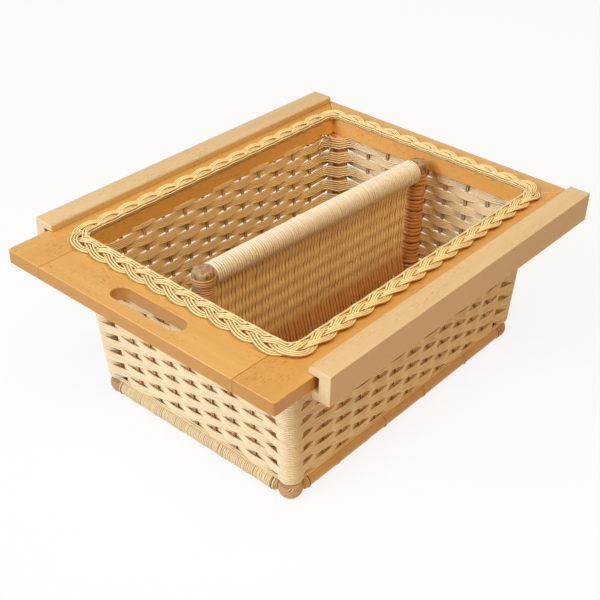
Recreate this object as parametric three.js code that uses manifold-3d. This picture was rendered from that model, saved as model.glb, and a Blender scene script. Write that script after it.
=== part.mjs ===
// Divided storage basket: a woven cane basket with a tall divider, hung in a wooden
// frame whose side edges slide in two grooved runners. Millimetres, +Z up, front is -Y,
// origin on the floor under the middle of the frame.
import * as THREE from 'three';
import { mergeVertices } from 'three/addons/utils/BufferGeometryUtils.js';
import Module from 'manifold-3d';

const wasm = await Module();
wasm.setup();

// Fits
const CLEAR = 0.3;              // gap between pieces that touch
const BITE = 0.6;               // how far a stake is let into its liner board
const WELD = 0.8;               // overlap where one piece is joined from several shapes

// Frame
const FRAME_WIDTH = 330;
const FRAME_DEPTH = 465;
const FRAME_TOP = 185;          // height of the frame's upper face
const BOARD = 14;               // thickness of the frame boards
const SIDE_BORDER = 36;         // frame edge to the liner's inner face, at the sides
const FRONT_BORDER = 61.5;
const BACK_BORDER = 35;
const RAIL_NOSE = 45;           // width of a side rail where the front board meets it
const FRAME_CORNER = 4;         // radius of the frame's front corners
const SLOT_LENGTH = 88;         // hand hole
const SLOT_WIDTH = 19;
const SLOT_SETBACK = 22.5;      // front edge to the middle of the hand hole

// Liner boards and the stakes behind them
const LINER = 4;
const LINER_HEIGHT = 18;
const STAKE_WIDE = 5;
const STAKE_THICK = 3.2;        // at its middle; a stake is a split cane, thin along its edges
const STAKE_EDGE = 0.8;
const FRONT_STAKES = 7;         // odd counts keep each band alike at both corners
const SIDE_STAKES = 11;
const STAKE_END_GAPS = 1.5;     // post to first stake, counted in stake gaps

// Corner posts and feet
const POST_R = 9.2;
const POST_IN_SIDE = 7.5;       // liner's inner face to the post's axis, at the top
const POST_IN_FRONT = 3.5;
const POST_IN_BACK = -0.5;
const TAPER_SIDE = 6.5;         // how far each wall draws in from top to foot
const TAPER_FRONT = 17;
const TAPER_BACK = 2.5;
const FOOT_PROUD = 0.1;         // how far a foot stands out past the wrapped post above it
const FOOT_FLAT = 4.5;          // radius of the flat that stands on the floor
const FOOT_HEIGHT = 18.5;

// Woven bands
const BANDS = 16;
const BAND_THICK = 2.4;
const BAND_SPREAD = 2.4;        // a band is this much taller over a stake, shorter behind it
const BAND_TUCK = 0.7;          // share of its thickness left where a band enters a corner wrap
const WALL_OUT_TOP = { front: 7, right: 8, back: 4.3, left: 8 };
const WALL_OUT_FOOT = 6;        // post axis plane to the middle of the wall
const WRAP_OVERLAP = 4;         // degrees the corner wrap runs past its tangent
const INNER_WRAP_START = -24;   // degrees from the wall line, where the inner bands meet the post
const INNER_WRAP_END = 10;      // from here to the next wall the post has a wrap of its own

// Bottom rails and floor
const WRAPPED_RAIL_R = 8.3;     // front and back rails, wound with cane
const BARE_RAIL_R = 7.6;        // side rails
const BOTTOM_RAIL_OUT = 5.7;    // post axis plane to the rail's axis
const BOTTOM_RAIL_Z = 13;
const FLOOR_THICK = 3.2;
const FLOOR_BANDS = 28;         // bands of cane across the floor
const FLOOR_GROOVE = 0.8;       // depth of the groove between two bands

// Plaited rim
const BRAID_WIDTH = 13;
const BRAID_HEIGHT = 5.6;
const BRAID_CROWN = 3.6;        // half width of the plait's upper face
const BRAID_OUT = 1.5;          // stake line to the middle of the plait
const BRAID_CORNER = 17;        // radius of the plait's middle line at the corners
const SCALLOP_PITCH = 25.5;
const SCALLOP_DEEP = 1.6;

// Divider
const DIVIDER_YAW = -1.2;       // degrees, it stands a little askew
const DIVIDER_X = 0.75;
const DIVIDER_PLAY = 0.6;       // front wall's foot to the divider's front post
const DIVIDER_BACK_GAP = 19.5;  // back post's axis to the back liner
const DIVIDER_POST_R = 10.5;
const DIVIDER_POST_BEVEL = 1.6;
const POST_PROUD = 9;           // how far a post stands above the rod's axis
const ROD_FRONT_DROP = 2.3;     // frame top to the rod's axis; the rod slopes to the back
const ROD_BACK_DROP = 9.9;
const ROD_FRONT_R = 11.3;
const ROD_BACK_R = 13.3;
const ROD_START = 7;            // post's axis to the rod's coped end
const PANEL_HALF = 2.6;         // half thickness of the divider panel
const PANEL_CANE_PITCH = 4.6;    // one upright cane of the panel to the next
const PANEL_GROOVE = 1.1;       // depth of the groove between two canes
const PANEL_BACK_GAP = 4.5;
const PANEL_FORK_Z = 79;        // below this the canes part round the bottom rod
const PANEL_KNEE_Z = 50;        // below this both legs of the fork stand upright
const BOTTOM_ROD_R = 8;
const BINDING_WIDE = 7;
const BINDING_THICK = 1.7;
const BINDING_TURN = 200;       // degrees of the front post that the binding goes round
const BINDING_DROP = 9.7;       // post top to the middle of the binding

// Runners
const RUNNER_FRONT_SETBACK = 46.5;
const RUNNER_BACK_SETBACK = 4.5;
const RUNNER_LIP = 7;           // wood above the groove
const RUNNER_LEDGE = 8.4;       // wood below the groove
const RUNNER_OVER = 6.2;        // how far the lip reaches over the frame
const RUNNER_PLAY = 5;          // groove bottom to the frame's edge
const RUNNER_WEB = 12.2;
const RUNNER_NOSE_R = 2.5;
const RUNNER_CLEAR = 0.35;

// Screw eye and hanging ring
const EYE_R = 2.1;
const EYE_WIRE_R = 0.8;
const EYE_DROP = 13;            // frame top to the eye's middle
const RING_R = 11.2;
const RING_WIRE_R = 0.75;
const RING_IN = 0.4;            // back post's axis to the ring's plane, inwards
const RING_PLAY = 0.6;          // wrapped back post to the ring's rim

// Worked-out places
const FRAME_BASE = FRAME_TOP - BOARD;
const LINER_BASE = FRAME_TOP - LINER_HEIGHT;
const OPEN_X = FRAME_WIDTH / 2 - SIDE_BORDER;
const OPEN_FRONT = FRONT_BORDER - FRAME_DEPTH / 2;
const OPEN_BACK = FRAME_DEPTH / 2 - BACK_BORDER;
const STAKE_LINE = LINER - BITE + STAKE_THICK / 2;
const FRAME_GAP = LINER - BITE + STAKE_THICK + CLEAR;
const POST_TOP = LINER_BASE - CLEAR;
const POST_BASE = FOOT_HEIGHT + CLEAR;
const WRAP_R = POST_R + CLEAR + BAND_THICK / 2;
const WRAP_OUT = WRAP_R + BAND_THICK / 2;
const FOOT_R = WRAP_OUT + FOOT_PROUD;
const WEAVE_TOP = LINER_BASE - CLEAR - BAND_SPREAD / 2;
const WEAVE_BASE = BOTTOM_RAIL_Z + WRAPPED_RAIL_R + CLEAR + BAND_SPREAD / 2;
const BAND_PITCH = (WEAVE_TOP - WEAVE_BASE) / BANDS;
const BAND_SWING = STAKE_THICK / 2 + CLEAR + BAND_THICK / 2;
const FLOOR_TOP = BOTTOM_RAIL_Z + FLOOR_THICK / 2;
const DIVIDER_BASE = FLOOR_TOP + CLEAR;
const ROD_FRONT_Z = FRAME_TOP - ROD_FRONT_DROP;
const ROD_BACK_Z = FRAME_TOP - ROD_BACK_DROP;

const rad = THREE.MathUtils.degToRad;
const mix = THREE.MathUtils.lerp;
const basket = new THREE.Group();

const HONEY = 0xd9a04e;
const BEECH = 0xe3bf8f;
const LINER_WOOD = 0xbf7a35;
const CANE = 0xeed8a8;
const CANE_SHADE = 0xd9b57a;
const RATTAN = 0xc98a4a;
const DRIFTWOOD = 0xa08a6a;
const STEEL = 0xb9b6ae;

function add(name, geometry, color, roughness, metalness = 0) {
  const mesh = new THREE.Mesh(geometry, new THREE.MeshStandardMaterial({ color, roughness, metalness }));
  mesh.name = name;
  basket.add(mesh);
  return mesh;
}

// Solids for joining and cutting
function solid(geometry) {
  const bare = geometry.clone();
  bare.deleteAttribute('normal');
  bare.deleteAttribute('uv');
  const merged = mergeVertices(bare, 1e-5);
  const vertProperties = new Float32Array(merged.attributes.position.array);
  const triVerts = new Uint32Array(merged.index.array);
  return new wasm.Manifold(new wasm.Mesh({ numProp: 3, vertProperties, triVerts }));
}

function surface(manifold) {
  const mesh = manifold.getMesh();
  const geometry = new THREE.BufferGeometry();
  geometry.setAttribute('position', new THREE.BufferAttribute(new Float32Array(mesh.vertProperties), 3));
  geometry.setIndex(Array.from(mesh.triVerts));
  geometry.computeVertexNormals();
  return geometry;
}

function join(geometries) {
  return surface(geometries.map(solid).reduce((whole, piece) => whole.add(piece)));
}

function cut(geometry, cutters) {
  return surface(cutters.map(solid).reduce((whole, piece) => whole.subtract(piece), solid(geometry)));
}

// A closed body through rings of equally many points; closed loops need no end caps.
function loft(rings, looped = false) {
  const count = rings[0].length;
  const points = rings.flat();
  const index = [];
  const last = looped ? rings.length : rings.length - 1;
  for (let i = 0; i < last; i += 1) {
    const a = i * count;
    const b = ((i + 1) % rings.length) * count;
    for (let j = 0; j < count; j += 1) {
      const k = (j + 1) % count;
      index.push(a + j, a + k, b + k, a + j, b + k, b + j);
    }
  }
  if (!looped) {
    const top = (rings.length - 1) * count;
    for (const face of THREE.ShapeUtils.triangulateShape(flatten(rings[0]), [])) {
      const [p, q, r] = face.sort((one, other) => one - other);
      index.push(r, q, p, top + p, top + q, top + r);
    }
  }
  const geometry = new THREE.BufferGeometry();
  geometry.setAttribute('position', new THREE.Float32BufferAttribute(points.flat(), 3));
  geometry.setIndex(index);
  if (volume(geometry) < 0) {
    geometry.setIndex(index.map((_, i) => index[i - (i % 3) + 2 - (i % 3)]));
  }
  geometry.computeVertexNormals();
  return geometry;
}

// Both edges of a ribbed strip as one loop of [out, way]: crests at `half`, grooves between them.
function ribbed(ribs, from, to, half, groove) {
  const step = (to - from) / ribs / 2;
  const edge = Array.from({ length: 2 * ribs + 1 }, (_, i) => [i % 2 ? half : half - groove, from + i * step]);
  return [...edge, ...edge.toReversed().map(([out, way]) => [-out, way])];
}

// A ring's points in the plane that it faces most squarely.
function flatten(ring) {
  const spans = [0, 1, 2].map((axis) => {
    const values = ring.map((point) => point[axis]);
    return Math.max(...values) - Math.min(...values);
  });
  const thin = spans.indexOf(Math.min(...spans));
  return ring.map((point) => new THREE.Vector2(...point.filter((_, axis) => axis !== thin)));
}

function volume(geometry) {
  const position = geometry.attributes.position;
  const index = geometry.index.array;
  const corner = [0, 1, 2].map(() => new THREE.Vector3());
  let sum = 0;
  for (let i = 0; i < index.length; i += 3) {
    corner.forEach((v, j) => v.fromBufferAttribute(position, index[i + j]));
    sum += corner[0].dot(corner[1].clone().cross(corner[2]));
  }
  return sum / 6;
}

// Corner posts lean: side is -1 left or 1 right, end is front or back.
function postAt(side, end, z) {
  const t = (z - POST_BASE) / (POST_TOP - POST_BASE);
  const topY = end === 'front' ? OPEN_FRONT + POST_IN_FRONT : OPEN_BACK - POST_IN_BACK;
  const footY = end === 'front' ? topY + TAPER_FRONT : topY - TAPER_BACK;
  const topX = OPEN_X - POST_IN_SIDE;
  return [side * mix(topX - TAPER_SIDE, topX, t), mix(footY, topY, t)];
}

// A wall runs along u from its first corner to its second, with n pointing outwards.
const FRONT_LEFT = [-1, 'front'];
const FRONT_RIGHT = [1, 'front'];
const BACK_LEFT = [-1, 'back'];
const BACK_RIGHT = [1, 'back'];
const walls = {
  front: {
    n: [0, -1],
    u: [1, 0],
    corners: [FRONT_LEFT, FRONT_RIGHT],
    liner: -OPEN_FRONT,
    stakes: FRONT_STAKES,
  },
  right: {
    n: [1, 0],
    u: [0, 1],
    corners: [FRONT_RIGHT, BACK_RIGHT],
    liner: OPEN_X,
    stakes: SIDE_STAKES,
  },
  back: {
    n: [0, 1],
    u: [-1, 0],
    corners: [BACK_RIGHT, BACK_LEFT],
    liner: OPEN_BACK,
    stakes: FRONT_STAKES,
  },
  left: {
    n: [-1, 0],
    u: [0, -1],
    corners: [BACK_LEFT, FRONT_LEFT],
    liner: OPEN_X,
    stakes: SIDE_STAKES,
  },
};

function corner(wall, which, z, along, out) {
  const [x, y] = postAt(...wall.corners[which], z);
  const toward = which === 0 ? along : -along;
  return [x + wall.u[0] * toward + wall.n[0] * out, y + wall.u[1] * toward + wall.n[1] * out, z];
}

function wallOut(name, z) {
  const t = (z - POST_BASE) / (POST_TOP - POST_BASE);
  return mix(WALL_OUT_FOOT, WALL_OUT_TOP[name], t);
}

// Place on a wall beside stake j, off the wall's middle by `off`.
function atStake(name, j, z, off) {
  const wall = walls[name];
  const share = (STAKE_END_GAPS + j) / (wall.stakes - 1 + 2 * STAKE_END_GAPS);
  const out = wallOut(name, z) + off;
  const start = corner(wall, 0, z, 0, out);
  const end = corner(wall, 1, z, 0, out);
  return start.map((value, axis) => mix(value, end[axis], share));
}

// One band of canes: at each station it has a height and a place that depends on the height.
function band(middle, stations) {
  const half = BAND_THICK / 2;
  return loft(stations.map(({ place, height }) => {
    const high = middle + height / 2;
    const low = middle - height / 2;
    return [place(high, half), place(low, half), place(low, -half), place(high, -half)];
  }));
}

// Part of the sleeve of canes round a leaning post, between two angles from a start direction.
function wrap(wall, which, from, to, direction) {
  const steps = Math.ceil((to - from) / 24);
  const ring = (z) => {
    const arc = (radius) => Array.from({ length: steps + 1 }, (_, i) => {
      const angle = rad(mix(from, to, i / steps));
      const [along, out] = direction(angle);
      return corner(wall, which, z, along * radius, out * radius);
    });
    return [...arc(WRAP_R - BAND_THICK / 2), ...arc(WRAP_R + BAND_THICK / 2).reverse()];
  };
  return loft([ring(POST_BASE), ring(POST_TOP)]);
}

const SEAM = THREE.MathUtils.radToDeg(Math.asin(CLEAR / 2 / (POST_R + CLEAR)));
const outerWrap = (wall, which) => wrap(wall, which, -WRAP_OVERLAP, 45 - SEAM,
  (angle) => [-Math.sin(angle), Math.cos(angle)]);
const inward = (angle) => [Math.cos(angle), -Math.sin(angle)];
const innerWrap = (wall, which) => wrap(wall, which, INNER_WRAP_START, INNER_WRAP_END - SEAM, inward);

// Bands that pass outside the posts, or those that pass inside them, with their corner wraps.
function weave(name, passesOutside) {
  const wall = walls[name];
  const startAngle = rad(INNER_WRAP_START + WRAP_OVERLAP);
  const ends = [0, 1].map((which) => (z, off) => (passesOutside
    ? corner(wall, which, z, -WELD / 2, WRAP_R + BAND_TUCK * off)
    : corner(wall, which, z, WRAP_R * Math.cos(startAngle), BAND_TUCK * off - WRAP_R * Math.sin(startAngle))));
  const wraps = [0, 1].map((which) => (passesOutside ? outerWrap(wall, which) : innerWrap(wall, which)));
  const bands = [];
  for (let k = passesOutside ? 0 : 1; k < BANDS; k += 2) {
    const stations = [{ place: ends[0], height: BAND_PITCH - CLEAR }];
    for (let j = 0; j < wall.stakes; j += 1) {
      const over = (j + k) % 2 === 1 ? 1 : -1;
      stations.push({
        place: (z, off) => atStake(name, j, z, over * BAND_SWING + off),
        height: BAND_PITCH - CLEAR + over * BAND_SPREAD,
      });
    }
    stations.push({ place: ends[1], height: BAND_PITCH - CLEAR });
    bands.push(band(WEAVE_TOP - (k + 0.5) * BAND_PITCH, stations));
  }
  return join([...wraps, ...bands]);
}

const cornerName = ([side, end]) => `${end}_${side < 0 ? 'left' : 'right'}`;
for (const [name, wall] of Object.entries(walls)) {
  add(`${name}_weave_outside_posts`, weave(name, true), CANE, 0.55);
  add(`${name}_weave_inside_posts`, weave(name, false), CANE, 0.55);
  const cornerWrap = wrap(wall, 0, INNER_WRAP_END + SEAM, 90 - INNER_WRAP_END - SEAM, inward);
  add(`${cornerName(wall.corners[0])}_inner_wrap`, cornerWrap, CANE_SHADE, 0.55);
}

// Liner boards, each with the stakes that run down behind it into the wall
function box(low, high) {
  const size = high.map((value, axis) => value - low[axis]);
  const geometry = new THREE.BoxGeometry(...size);
  return geometry.translate(...high.map((value, axis) => (value + low[axis]) / 2));
}

function stake(name, j) {
  const wall = walls[name];
  const lineAt = wall.liner + STAKE_LINE;
  const base = BOTTOM_RAIL_Z + WRAPPED_RAIL_R + CLEAR;
  const axis = wall.n[0] === 0 ? 1 : 0;
  const wide = STAKE_WIDE / 2;
  const thick = STAKE_THICK / 2;
  const edge = STAKE_EDGE / 2;
  const section = [[0, thick], [-wide, edge], [-wide, -edge], [0, -thick], [wide, -edge], [wide, edge]];
  const place = (z) => {
    const spot = atStake(name, j, Math.min(z, POST_TOP), 0);
    if (z > POST_TOP) {
      spot[axis] = wall.n[axis] * lineAt;
      spot[2] = z;
    }
    return spot;
  };
  return loft([base, POST_TOP, FRAME_TOP].map((z) => {
    const [x, y, height] = place(z);
    return section.map(([a, b]) => [
      x + wall.u[0] * a + wall.n[0] * b,
      y + wall.u[1] * a + wall.n[1] * b,
      height,
    ]);
  }));
}

const linerBoards = {
  front: box([-OPEN_X + CLEAR, OPEN_FRONT - LINER, LINER_BASE], [OPEN_X - CLEAR, OPEN_FRONT, FRAME_TOP]),
  right: box([OPEN_X, OPEN_FRONT - LINER, LINER_BASE], [OPEN_X + LINER, OPEN_BACK + LINER, FRAME_TOP]),
  back: box([-OPEN_X + CLEAR, OPEN_BACK, LINER_BASE], [OPEN_X - CLEAR, OPEN_BACK + LINER, FRAME_TOP]),
  left: box([-OPEN_X - LINER, OPEN_FRONT - LINER, LINER_BASE], [-OPEN_X, OPEN_BACK + LINER, FRAME_TOP]),
};
for (const [name, board] of Object.entries(linerBoards)) {
  const stakes = Array.from({ length: walls[name].stakes }, (_, j) => stake(name, j));
  add(`${name}_liner_and_stakes`, join([board, ...stakes]), LINER_WOOD, 0.5);
}

// Corner posts and the rounded feet under them
function disc(radius, sides, x, y, z) {
  return Array.from({ length: sides }, (_, i) => {
    const angle = (2 * Math.PI * i) / sides;
    return [x + radius * Math.cos(angle), y + radius * Math.sin(angle), z];
  });
}

const footProfile = new THREE.Path();
footProfile.moveTo(0, 0);
footProfile.lineTo(FOOT_FLAT, 0);
footProfile.quadraticCurveTo(FOOT_R, 0, FOOT_R, FOOT_R - FOOT_FLAT);
footProfile.lineTo(FOOT_R, FOOT_HEIGHT);
footProfile.lineTo(0, FOOT_HEIGHT);
for (const place of [FRONT_LEFT, FRONT_RIGHT, BACK_LEFT, BACK_RIGHT]) {
  const post = loft([POST_BASE, POST_TOP].map((z) => disc(POST_R, 16, ...postAt(...place, z), z)));
  add(`${cornerName(place)}_post`, post, RATTAN, 0.5);
  const foot = new THREE.LatheGeometry(footProfile.getPoints(2), 16).rotateX(Math.PI / 2);
  add(`${cornerName(place)}_foot`, foot, CANE_SHADE, 0.55).position.set(...postAt(...place, POST_BASE), 0);
}

// Bottom rails between the feet, and the floor they hold
const [footX, footFront] = postAt(1, 'front', POST_BASE);
const footBack = postAt(1, 'back', POST_BASE)[1];
const FOOT_REACH = FOOT_R + CLEAR;
function pole(radius, length, sides = 16) {
  return new THREE.CylinderGeometry(radius, radius, length, sides);
}
for (const [name, y] of [['front', footFront - BOTTOM_RAIL_OUT], ['back', footBack + BOTTOM_RAIL_OUT]]) {
  const rail = pole(WRAPPED_RAIL_R, 2 * (footX - FOOT_REACH)).rotateZ(Math.PI / 2);
  add(`${name}_bottom_rail`, rail, CANE, 0.55).position.set(0, y, BOTTOM_RAIL_Z);
}
for (const [name, side] of [['left', -1], ['right', 1]]) {
  const rail = pole(BARE_RAIL_R, footBack - footFront - 2 * FOOT_REACH);
  const middle = (footBack + footFront) / 2;
  add(`${name}_bottom_rail`, rail, RATTAN, 0.45)
    .position.set(side * (footX + BOTTOM_RAIL_OUT), middle, BOTTOM_RAIL_Z);
}

const floorX = footX + BOTTOM_RAIL_OUT - BARE_RAIL_R - CLEAR;
const floorFront = footFront - BOTTOM_RAIL_OUT + WRAPPED_RAIL_R + CLEAR;
const floorBack = footBack + BOTTOM_RAIL_OUT - WRAPPED_RAIL_R - CLEAR;
const matOutline = ribbed(FLOOR_BANDS, floorFront, floorBack, FLOOR_THICK / 2, FLOOR_GROOVE);
const floorSlab = loft([-floorX, floorX].map((x) => matOutline.map(([up, y]) => [x, y, BOTTOM_RAIL_Z + up])));
const footHoles = [];
for (const side of [-1, 1]) {
  for (const y of [footFront, footBack]) {
    footHoles.push(pole(FOOT_REACH, FOOT_HEIGHT, 20).rotateX(Math.PI / 2)
      .translate(side * footX, y, BOTTOM_RAIL_Z));
  }
}
add('floor_mat', cut(floorSlab, footHoles), CANE_SHADE, 0.6);

// Frame boards
const OPENING = {
  x: OPEN_X + FRAME_GAP,
  front: OPEN_FRONT - FRAME_GAP,
  back: OPEN_BACK + FRAME_GAP,
};
const HALF_W = FRAME_WIDTH / 2;
const HALF_D = FRAME_DEPTH / 2;

// A board cut from an outline.
function board(outline, holes = []) {
  outline.holes.push(...holes);
  const options = { depth: BOARD, bevelEnabled: false, curveSegments: 8 };
  return new THREE.ExtrudeGeometry(outline, options).translate(0, 0, FRAME_BASE);
}

// Side rails run to the front edge, where they are widest; the back corners are mitred.
const noseX = HALF_W - RAIL_NOSE;
function railOutline(side) {
  const outline = new THREE.Shape();
  outline.moveTo(side * noseX, -HALF_D);
  outline.lineTo(side * (HALF_W - FRAME_CORNER), -HALF_D);
  outline.quadraticCurveTo(side * HALF_W, -HALF_D, side * HALF_W, -HALF_D + FRAME_CORNER);
  outline.lineTo(side * HALF_W, HALF_D);
  outline.lineTo(side * OPENING.x, OPENING.back);
  outline.lineTo(side * OPENING.x, OPENING.front);
  outline.lineTo(side * noseX, OPENING.front);
  outline.closePath();
  return outline;
}
add('right_frame_rail', board(railOutline(1)), HONEY, 0.45);
add('left_frame_rail', board(railOutline(-1)), HONEY, 0.45);

const backOutline = new THREE.Shape();
backOutline.moveTo(-OPENING.x + CLEAR, OPENING.back);
backOutline.lineTo(OPENING.x - CLEAR, OPENING.back);
backOutline.lineTo(HALF_W - CLEAR, HALF_D);
backOutline.lineTo(-HALF_W + CLEAR, HALF_D);
backOutline.closePath();
add('back_frame_board', board(backOutline), HONEY, 0.45);

const slot = new THREE.Path();
const slotR = SLOT_WIDTH / 2;
const slotX = SLOT_LENGTH / 2 - slotR;
const slotY = -HALF_D + SLOT_SETBACK;
slot.absarc(slotX, slotY, slotR, -Math.PI / 2, Math.PI / 2, false);
slot.absarc(-slotX, slotY, slotR, Math.PI / 2, 1.5 * Math.PI, false);
const frontOutline = new THREE.Shape();
frontOutline.moveTo(-noseX + CLEAR, -HALF_D);
frontOutline.lineTo(noseX - CLEAR, -HALF_D);
frontOutline.lineTo(noseX - CLEAR, OPENING.front);
frontOutline.lineTo(-noseX + CLEAR, OPENING.front);
frontOutline.closePath();
add('front_frame_board', board(frontOutline, [slot]), HONEY, 0.45);

// Plaited rim that covers the stakes' ends
const braidX = OPEN_X + STAKE_LINE + BRAID_OUT;
const braidFront = OPEN_FRONT - STAKE_LINE - BRAID_OUT;
const braidBack = OPEN_BACK + STAKE_LINE + BRAID_OUT;
const braidLine = new THREE.Shape();
const braidCentres = [
  [braidX - BRAID_CORNER, braidFront + BRAID_CORNER],
  [braidX - BRAID_CORNER, braidBack - BRAID_CORNER],
  [BRAID_CORNER - braidX, braidBack - BRAID_CORNER],
  [BRAID_CORNER - braidX, braidFront + BRAID_CORNER],
];
braidCentres.forEach(([x, y], i) => {
  braidLine.absarc(x, y, BRAID_CORNER, ((i - 1) * Math.PI) / 2, (i * Math.PI) / 2, false);
});
braidLine.closePath();
const STATIONS_PER_SCALLOP = 2;
const stationCount = STATIONS_PER_SCALLOP * Math.round(braidLine.getLength() / SCALLOP_PITCH);
const braidPoints = braidLine.getSpacedPoints(stationCount).slice(0, stationCount);
const braidRings = braidPoints.map((point, i) => {
  const next = braidPoints[(i + 1) % stationCount];
  const before = braidPoints[(i + stationCount - 1) % stationCount];
  const way = next.clone().sub(before).normalize();
  const bulge = SCALLOP_DEEP * Math.sin((Math.PI * (i % STATIONS_PER_SCALLOP)) / STATIONS_PER_SCALLOP);
  const half = BRAID_WIDTH / 2;
  const section = [
    [-half, 0],
    [-BRAID_CROWN, BRAID_HEIGHT],
    [BRAID_CROWN + bulge, BRAID_HEIGHT],
    [half + bulge, 0],
  ];
  return section.map(([out, up]) => [point.x + way.y * out, point.y - way.x * out, FRAME_TOP + CLEAR + up]);
});
add('plaited_rim', loft(braidRings, true), CANE, 0.55);

// Divider, worked out along its own line and then turned into place
const wallFoot = footFront - WALL_OUT_FOOT + BAND_SWING + BAND_THICK / 2;
const dividerFront = wallFoot + DIVIDER_PLAY + DIVIDER_POST_R;
const dividerHalf = (OPEN_BACK - DIVIDER_BACK_GAP - dividerFront) / 2;
const dividerY = dividerFront + dividerHalf;
const placed = (geometry) => geometry.rotateZ(rad(DIVIDER_YAW)).translate(DIVIDER_X, dividerY, 0);

function dividerPost(y, top) {
  const profile = [
    [0, DIVIDER_BASE],
    [DIVIDER_POST_R, DIVIDER_BASE],
    [DIVIDER_POST_R, top - DIVIDER_POST_BEVEL],
    [DIVIDER_POST_R - DIVIDER_POST_BEVEL, top],
    [0, top],
  ];
  const points = profile.map(([r, z]) => new THREE.Vector2(r, z));
  return new THREE.LatheGeometry(points, 16).rotateX(Math.PI / 2).translate(0, y, 0);
}
const frontPostTop = ROD_FRONT_Z + POST_PROUD;
const backPostTop = ROD_BACK_Z + POST_PROUD;
const railNotch = pole(WRAPPED_RAIL_R + CLEAR, FRAME_WIDTH, 20).rotateZ(Math.PI / 2)
  .translate(0, footFront - BOTTOM_RAIL_OUT, BOTTOM_RAIL_Z);
add('divider_front_post', cut(placed(dividerPost(-dividerHalf, frontPostTop)), [railNotch]), DRIFTWOOD, 0.7);
add('divider_back_post', placed(dividerPost(dividerHalf, backPostTop)), RATTAN, 0.6);

// Tapered rod between the posts, coped to them
const rodEnd = dividerHalf - ROD_START;
const rodRing = (y, z, r) => disc(r, 16, 0, 0, 0).map(([a, b]) => [a, y, z + b]);
const dividerRod = loft([
  rodRing(-rodEnd, ROD_FRONT_Z, ROD_FRONT_R),
  rodRing(rodEnd, ROD_BACK_Z, ROD_BACK_R),
]);
const postCutters = [-1, 1].map((end) => pole(DIVIDER_POST_R + CLEAR, 2 * FRAME_TOP, 20)
  .rotateX(Math.PI / 2).translate(0, end * dividerHalf, FRAME_TOP));
add('divider_rod', placed(cut(dividerRod, postCutters)), CANE, 0.5);

const bottomRodZ = DIVIDER_BASE + BOTTOM_ROD_R;
const bottomRod = pole(BOTTOM_ROD_R, 2 * (dividerHalf - DIVIDER_POST_R - CLEAR)).translate(0, 0, bottomRodZ);
add('divider_bottom_rod', placed(bottomRod), RATTAN, 0.5);

// Panel of upright canes, grooved between them, whose legs fork round the bottom rod
const legIn = BOTTOM_ROD_R + CLEAR;
const legOut = legIn + PANEL_HALF;
const forkOutline = new THREE.Shape([
  [0, PANEL_FORK_Z - 2 * PANEL_HALF],
  [legIn, PANEL_KNEE_Z],
  [legIn, bottomRodZ],
  [legOut, bottomRodZ],
  [legOut, PANEL_KNEE_Z],
  [PANEL_HALF, PANEL_FORK_Z],
  [-PANEL_HALF, PANEL_FORK_Z],
  [-legOut, PANEL_KNEE_Z],
  [-legOut, bottomRodZ],
  [-legIn, bottomRodZ],
  [-legIn, PANEL_KNEE_Z],
].map(([x, z]) => new THREE.Vector2(x, z)));
const panelBack = dividerHalf - DIVIDER_POST_R - PANEL_BACK_GAP;
const panelFront = DIVIDER_POST_R + CLEAR - dividerHalf;
const panelLength = panelBack - panelFront;
const fork = new THREE.ExtrudeGeometry(forkOutline, { depth: panelLength, bevelEnabled: false })
  .rotateX(Math.PI / 2).translate(0, panelBack, 0);
const panelCanes = Math.round(panelLength / PANEL_CANE_PITCH);
const caneOutline = ribbed(panelCanes, panelFront, panelBack, PANEL_HALF, PANEL_GROOVE);
const underRod = (y) => THREE.MathUtils.mapLinear(
  y, -rodEnd, rodEnd, ROD_FRONT_Z - ROD_FRONT_R, ROD_BACK_Z - ROD_BACK_R,
) - CLEAR;
const canes = loft([
  caneOutline.map(([x, y]) => [x, y, PANEL_FORK_Z - WELD]),
  caneOutline.map(([x, y]) => [x, y, underRod(y)]),
]);
add('divider_panel', placed(join([fork, canes])), CANE_SHADE, 0.6);

const bindingIn = DIVIDER_POST_R + CLEAR;
const binding = new THREE.Shape();
const bindingStart = rad(-90 - BINDING_TURN / 2);
const bindingEnd = rad(-90 + BINDING_TURN / 2);
binding.absarc(0, 0, bindingIn + BINDING_THICK, bindingStart, bindingEnd, false);
binding.absarc(0, 0, bindingIn, bindingEnd, bindingStart, true);
const bindingOptions = { depth: BINDING_WIDE, bevelEnabled: false, curveSegments: 6 };
const bindingBand = new THREE.ExtrudeGeometry(binding, bindingOptions)
  .translate(0, -dividerHalf, frontPostTop - BINDING_DROP - BINDING_WIDE / 2);
add('divider_binding', placed(bindingBand), CANE, 0.5);

// Grooved runners that the frame's side edges slide in
const grooveTop = FRAME_TOP + RUNNER_CLEAR;
const grooveBase = FRAME_BASE - RUNNER_CLEAR;
const runnerIn = HALF_W - RUNNER_OVER;
const runnerOut = HALF_W + RUNNER_PLAY + RUNNER_WEB;
const runnerTop = grooveTop + RUNNER_LIP;
const runnerBase = grooveBase - RUNNER_LEDGE;
function runnerOutline(side) {
  const outline = new THREE.Shape();
  outline.moveTo(side * runnerOut, runnerBase);
  outline.lineTo(side * runnerOut, runnerTop);
  outline.lineTo(side * (runnerIn + RUNNER_NOSE_R), runnerTop);
  outline.quadraticCurveTo(side * runnerIn, runnerTop, side * runnerIn, runnerTop - RUNNER_NOSE_R);
  outline.lineTo(side * runnerIn, grooveTop);
  outline.lineTo(side * (HALF_W + RUNNER_PLAY), grooveTop);
  outline.lineTo(side * (HALF_W + RUNNER_PLAY), grooveBase);
  outline.lineTo(side * runnerIn, grooveBase);
  outline.lineTo(side * runnerIn, runnerBase + RUNNER_NOSE_R);
  outline.quadraticCurveTo(side * runnerIn, runnerBase, side * (runnerIn + RUNNER_NOSE_R), runnerBase);
  outline.closePath();
  return outline;
}
const runnerLength = FRAME_DEPTH - RUNNER_FRONT_SETBACK - RUNNER_BACK_SETBACK;
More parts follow.
